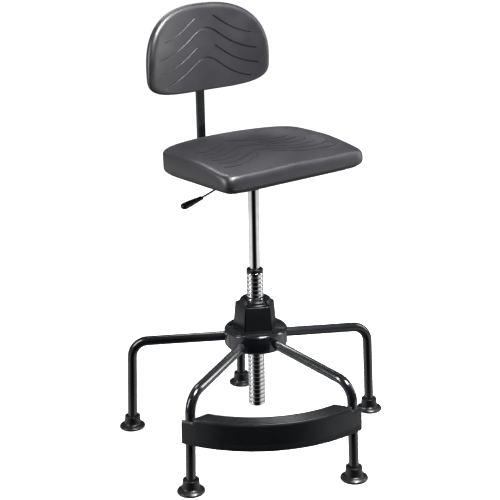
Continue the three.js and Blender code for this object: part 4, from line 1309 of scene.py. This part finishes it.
def softbox(name, at, aim, width, height, power, tint=(1, 1, 1)):
    data = bpy.data.lights.new(name, "AREA")
    data.shape = "RECTANGLE"
    data.size = width
    data.size_y = height
    data.energy = power
    data.color = tint
    light = bpy.data.objects.new(name, data)
    light.location = AXIS + Vector(at)
    light.rotation_euler = (Vector(aim) - Vector(at)).to_track_quat("-Z", "Y").to_euler()
    light.visible_camera = False
    bpy.context.scene.collection.objects.link(light)


def background():
    """White behind the floor; around the chair a soft sky, a dim ground and a dark end."""
    world = bpy.data.worlds.new("studio")
    bpy.context.scene.world = world
    world.use_nodes = True
    g = Graph(world.node_tree)
    direction = g.node("ShaderNodeTexCoord").outputs["Generated"]

    def towards(way):
        dot = g.node("ShaderNodeVectorMath", operation="DOT_PRODUCT")
        dot.inputs[1].default_value = way
        g.link(direction, dot.inputs[0])
        return dot.outputs["Value"]

    height = g.height_of(direction)
    sky = g.math("ADD", g.ramp(height, *SKY_RAMP), g.ramp(height, *GROUND_RAMP))
    dark = g.ramp(towards(DARK_END), *DARK_RAMP)
    side = g.ramp(g.math("ABSOLUTE", towards(BRIGHT_SIDE), 0.0), *SIDE_RAMP)
    room = world.node_tree.nodes["Background"]
    room.inputs["Color"].default_value = (0.97, 0.98, 1.0, 1)
    g.link(g.math("MULTIPLY", g.math("MULTIPLY", sky, dark), side), room.inputs["Strength"])
    white = g.node("ShaderNodeBackground")
    white.inputs["Color"].default_value = (1, 1, 1, 1)
    white.inputs["Strength"].default_value = 1.15
    mix = g.node("ShaderNodeMixShader")
    g.link(g.node("ShaderNodeLightPath").outputs["Is Camera Ray"], mix.inputs["Fac"])
    g.link(room.outputs["Background"], mix.inputs[1])
    g.link(white.outputs["Background"], mix.inputs[2])
    g.link(mix.outputs["Shader"], world.node_tree.nodes["World Output"].inputs["Surface"])


FLOOR_GLOW = 0.9
DARK_END = (-0.55, -0.78, -0.30)     # the unlit end of the studio
BRIGHT_SIDE = (0.79, -0.62, 0.0)
SKY_RAMP = (-0.1, 0.8, 0.06, 0.22)   # from low to high: direction's height, then brightness
GROUND_RAMP = (-0.3, -0.1, 0.40, 0.0)
DARK_RAMP = (0.60, 0.92, 1.0, 0.02)
SIDE_RAMP = (0.45, 0.85, 0.35, 2.0)

floor()
background()
softbox("key", (0.1, -1.5, 3.2), (0, 0, 0.8), 1.3, 0.9, 260)
softbox("left", (-3.0, 0.9, 1.5), (0, 0, 0.7), 0.5, 2.0, 60)
softbox("right", (2.6, -1.2, 1.4), (0, 0, 0.7), 0.4, 2.2, 30)
softbox("rim", (0.5, 1.6, 3.0), (0, 0, 1.0), 1.4, 0.5, 30)
bpy.context.scene.view_settings.view_transform = "Standard"
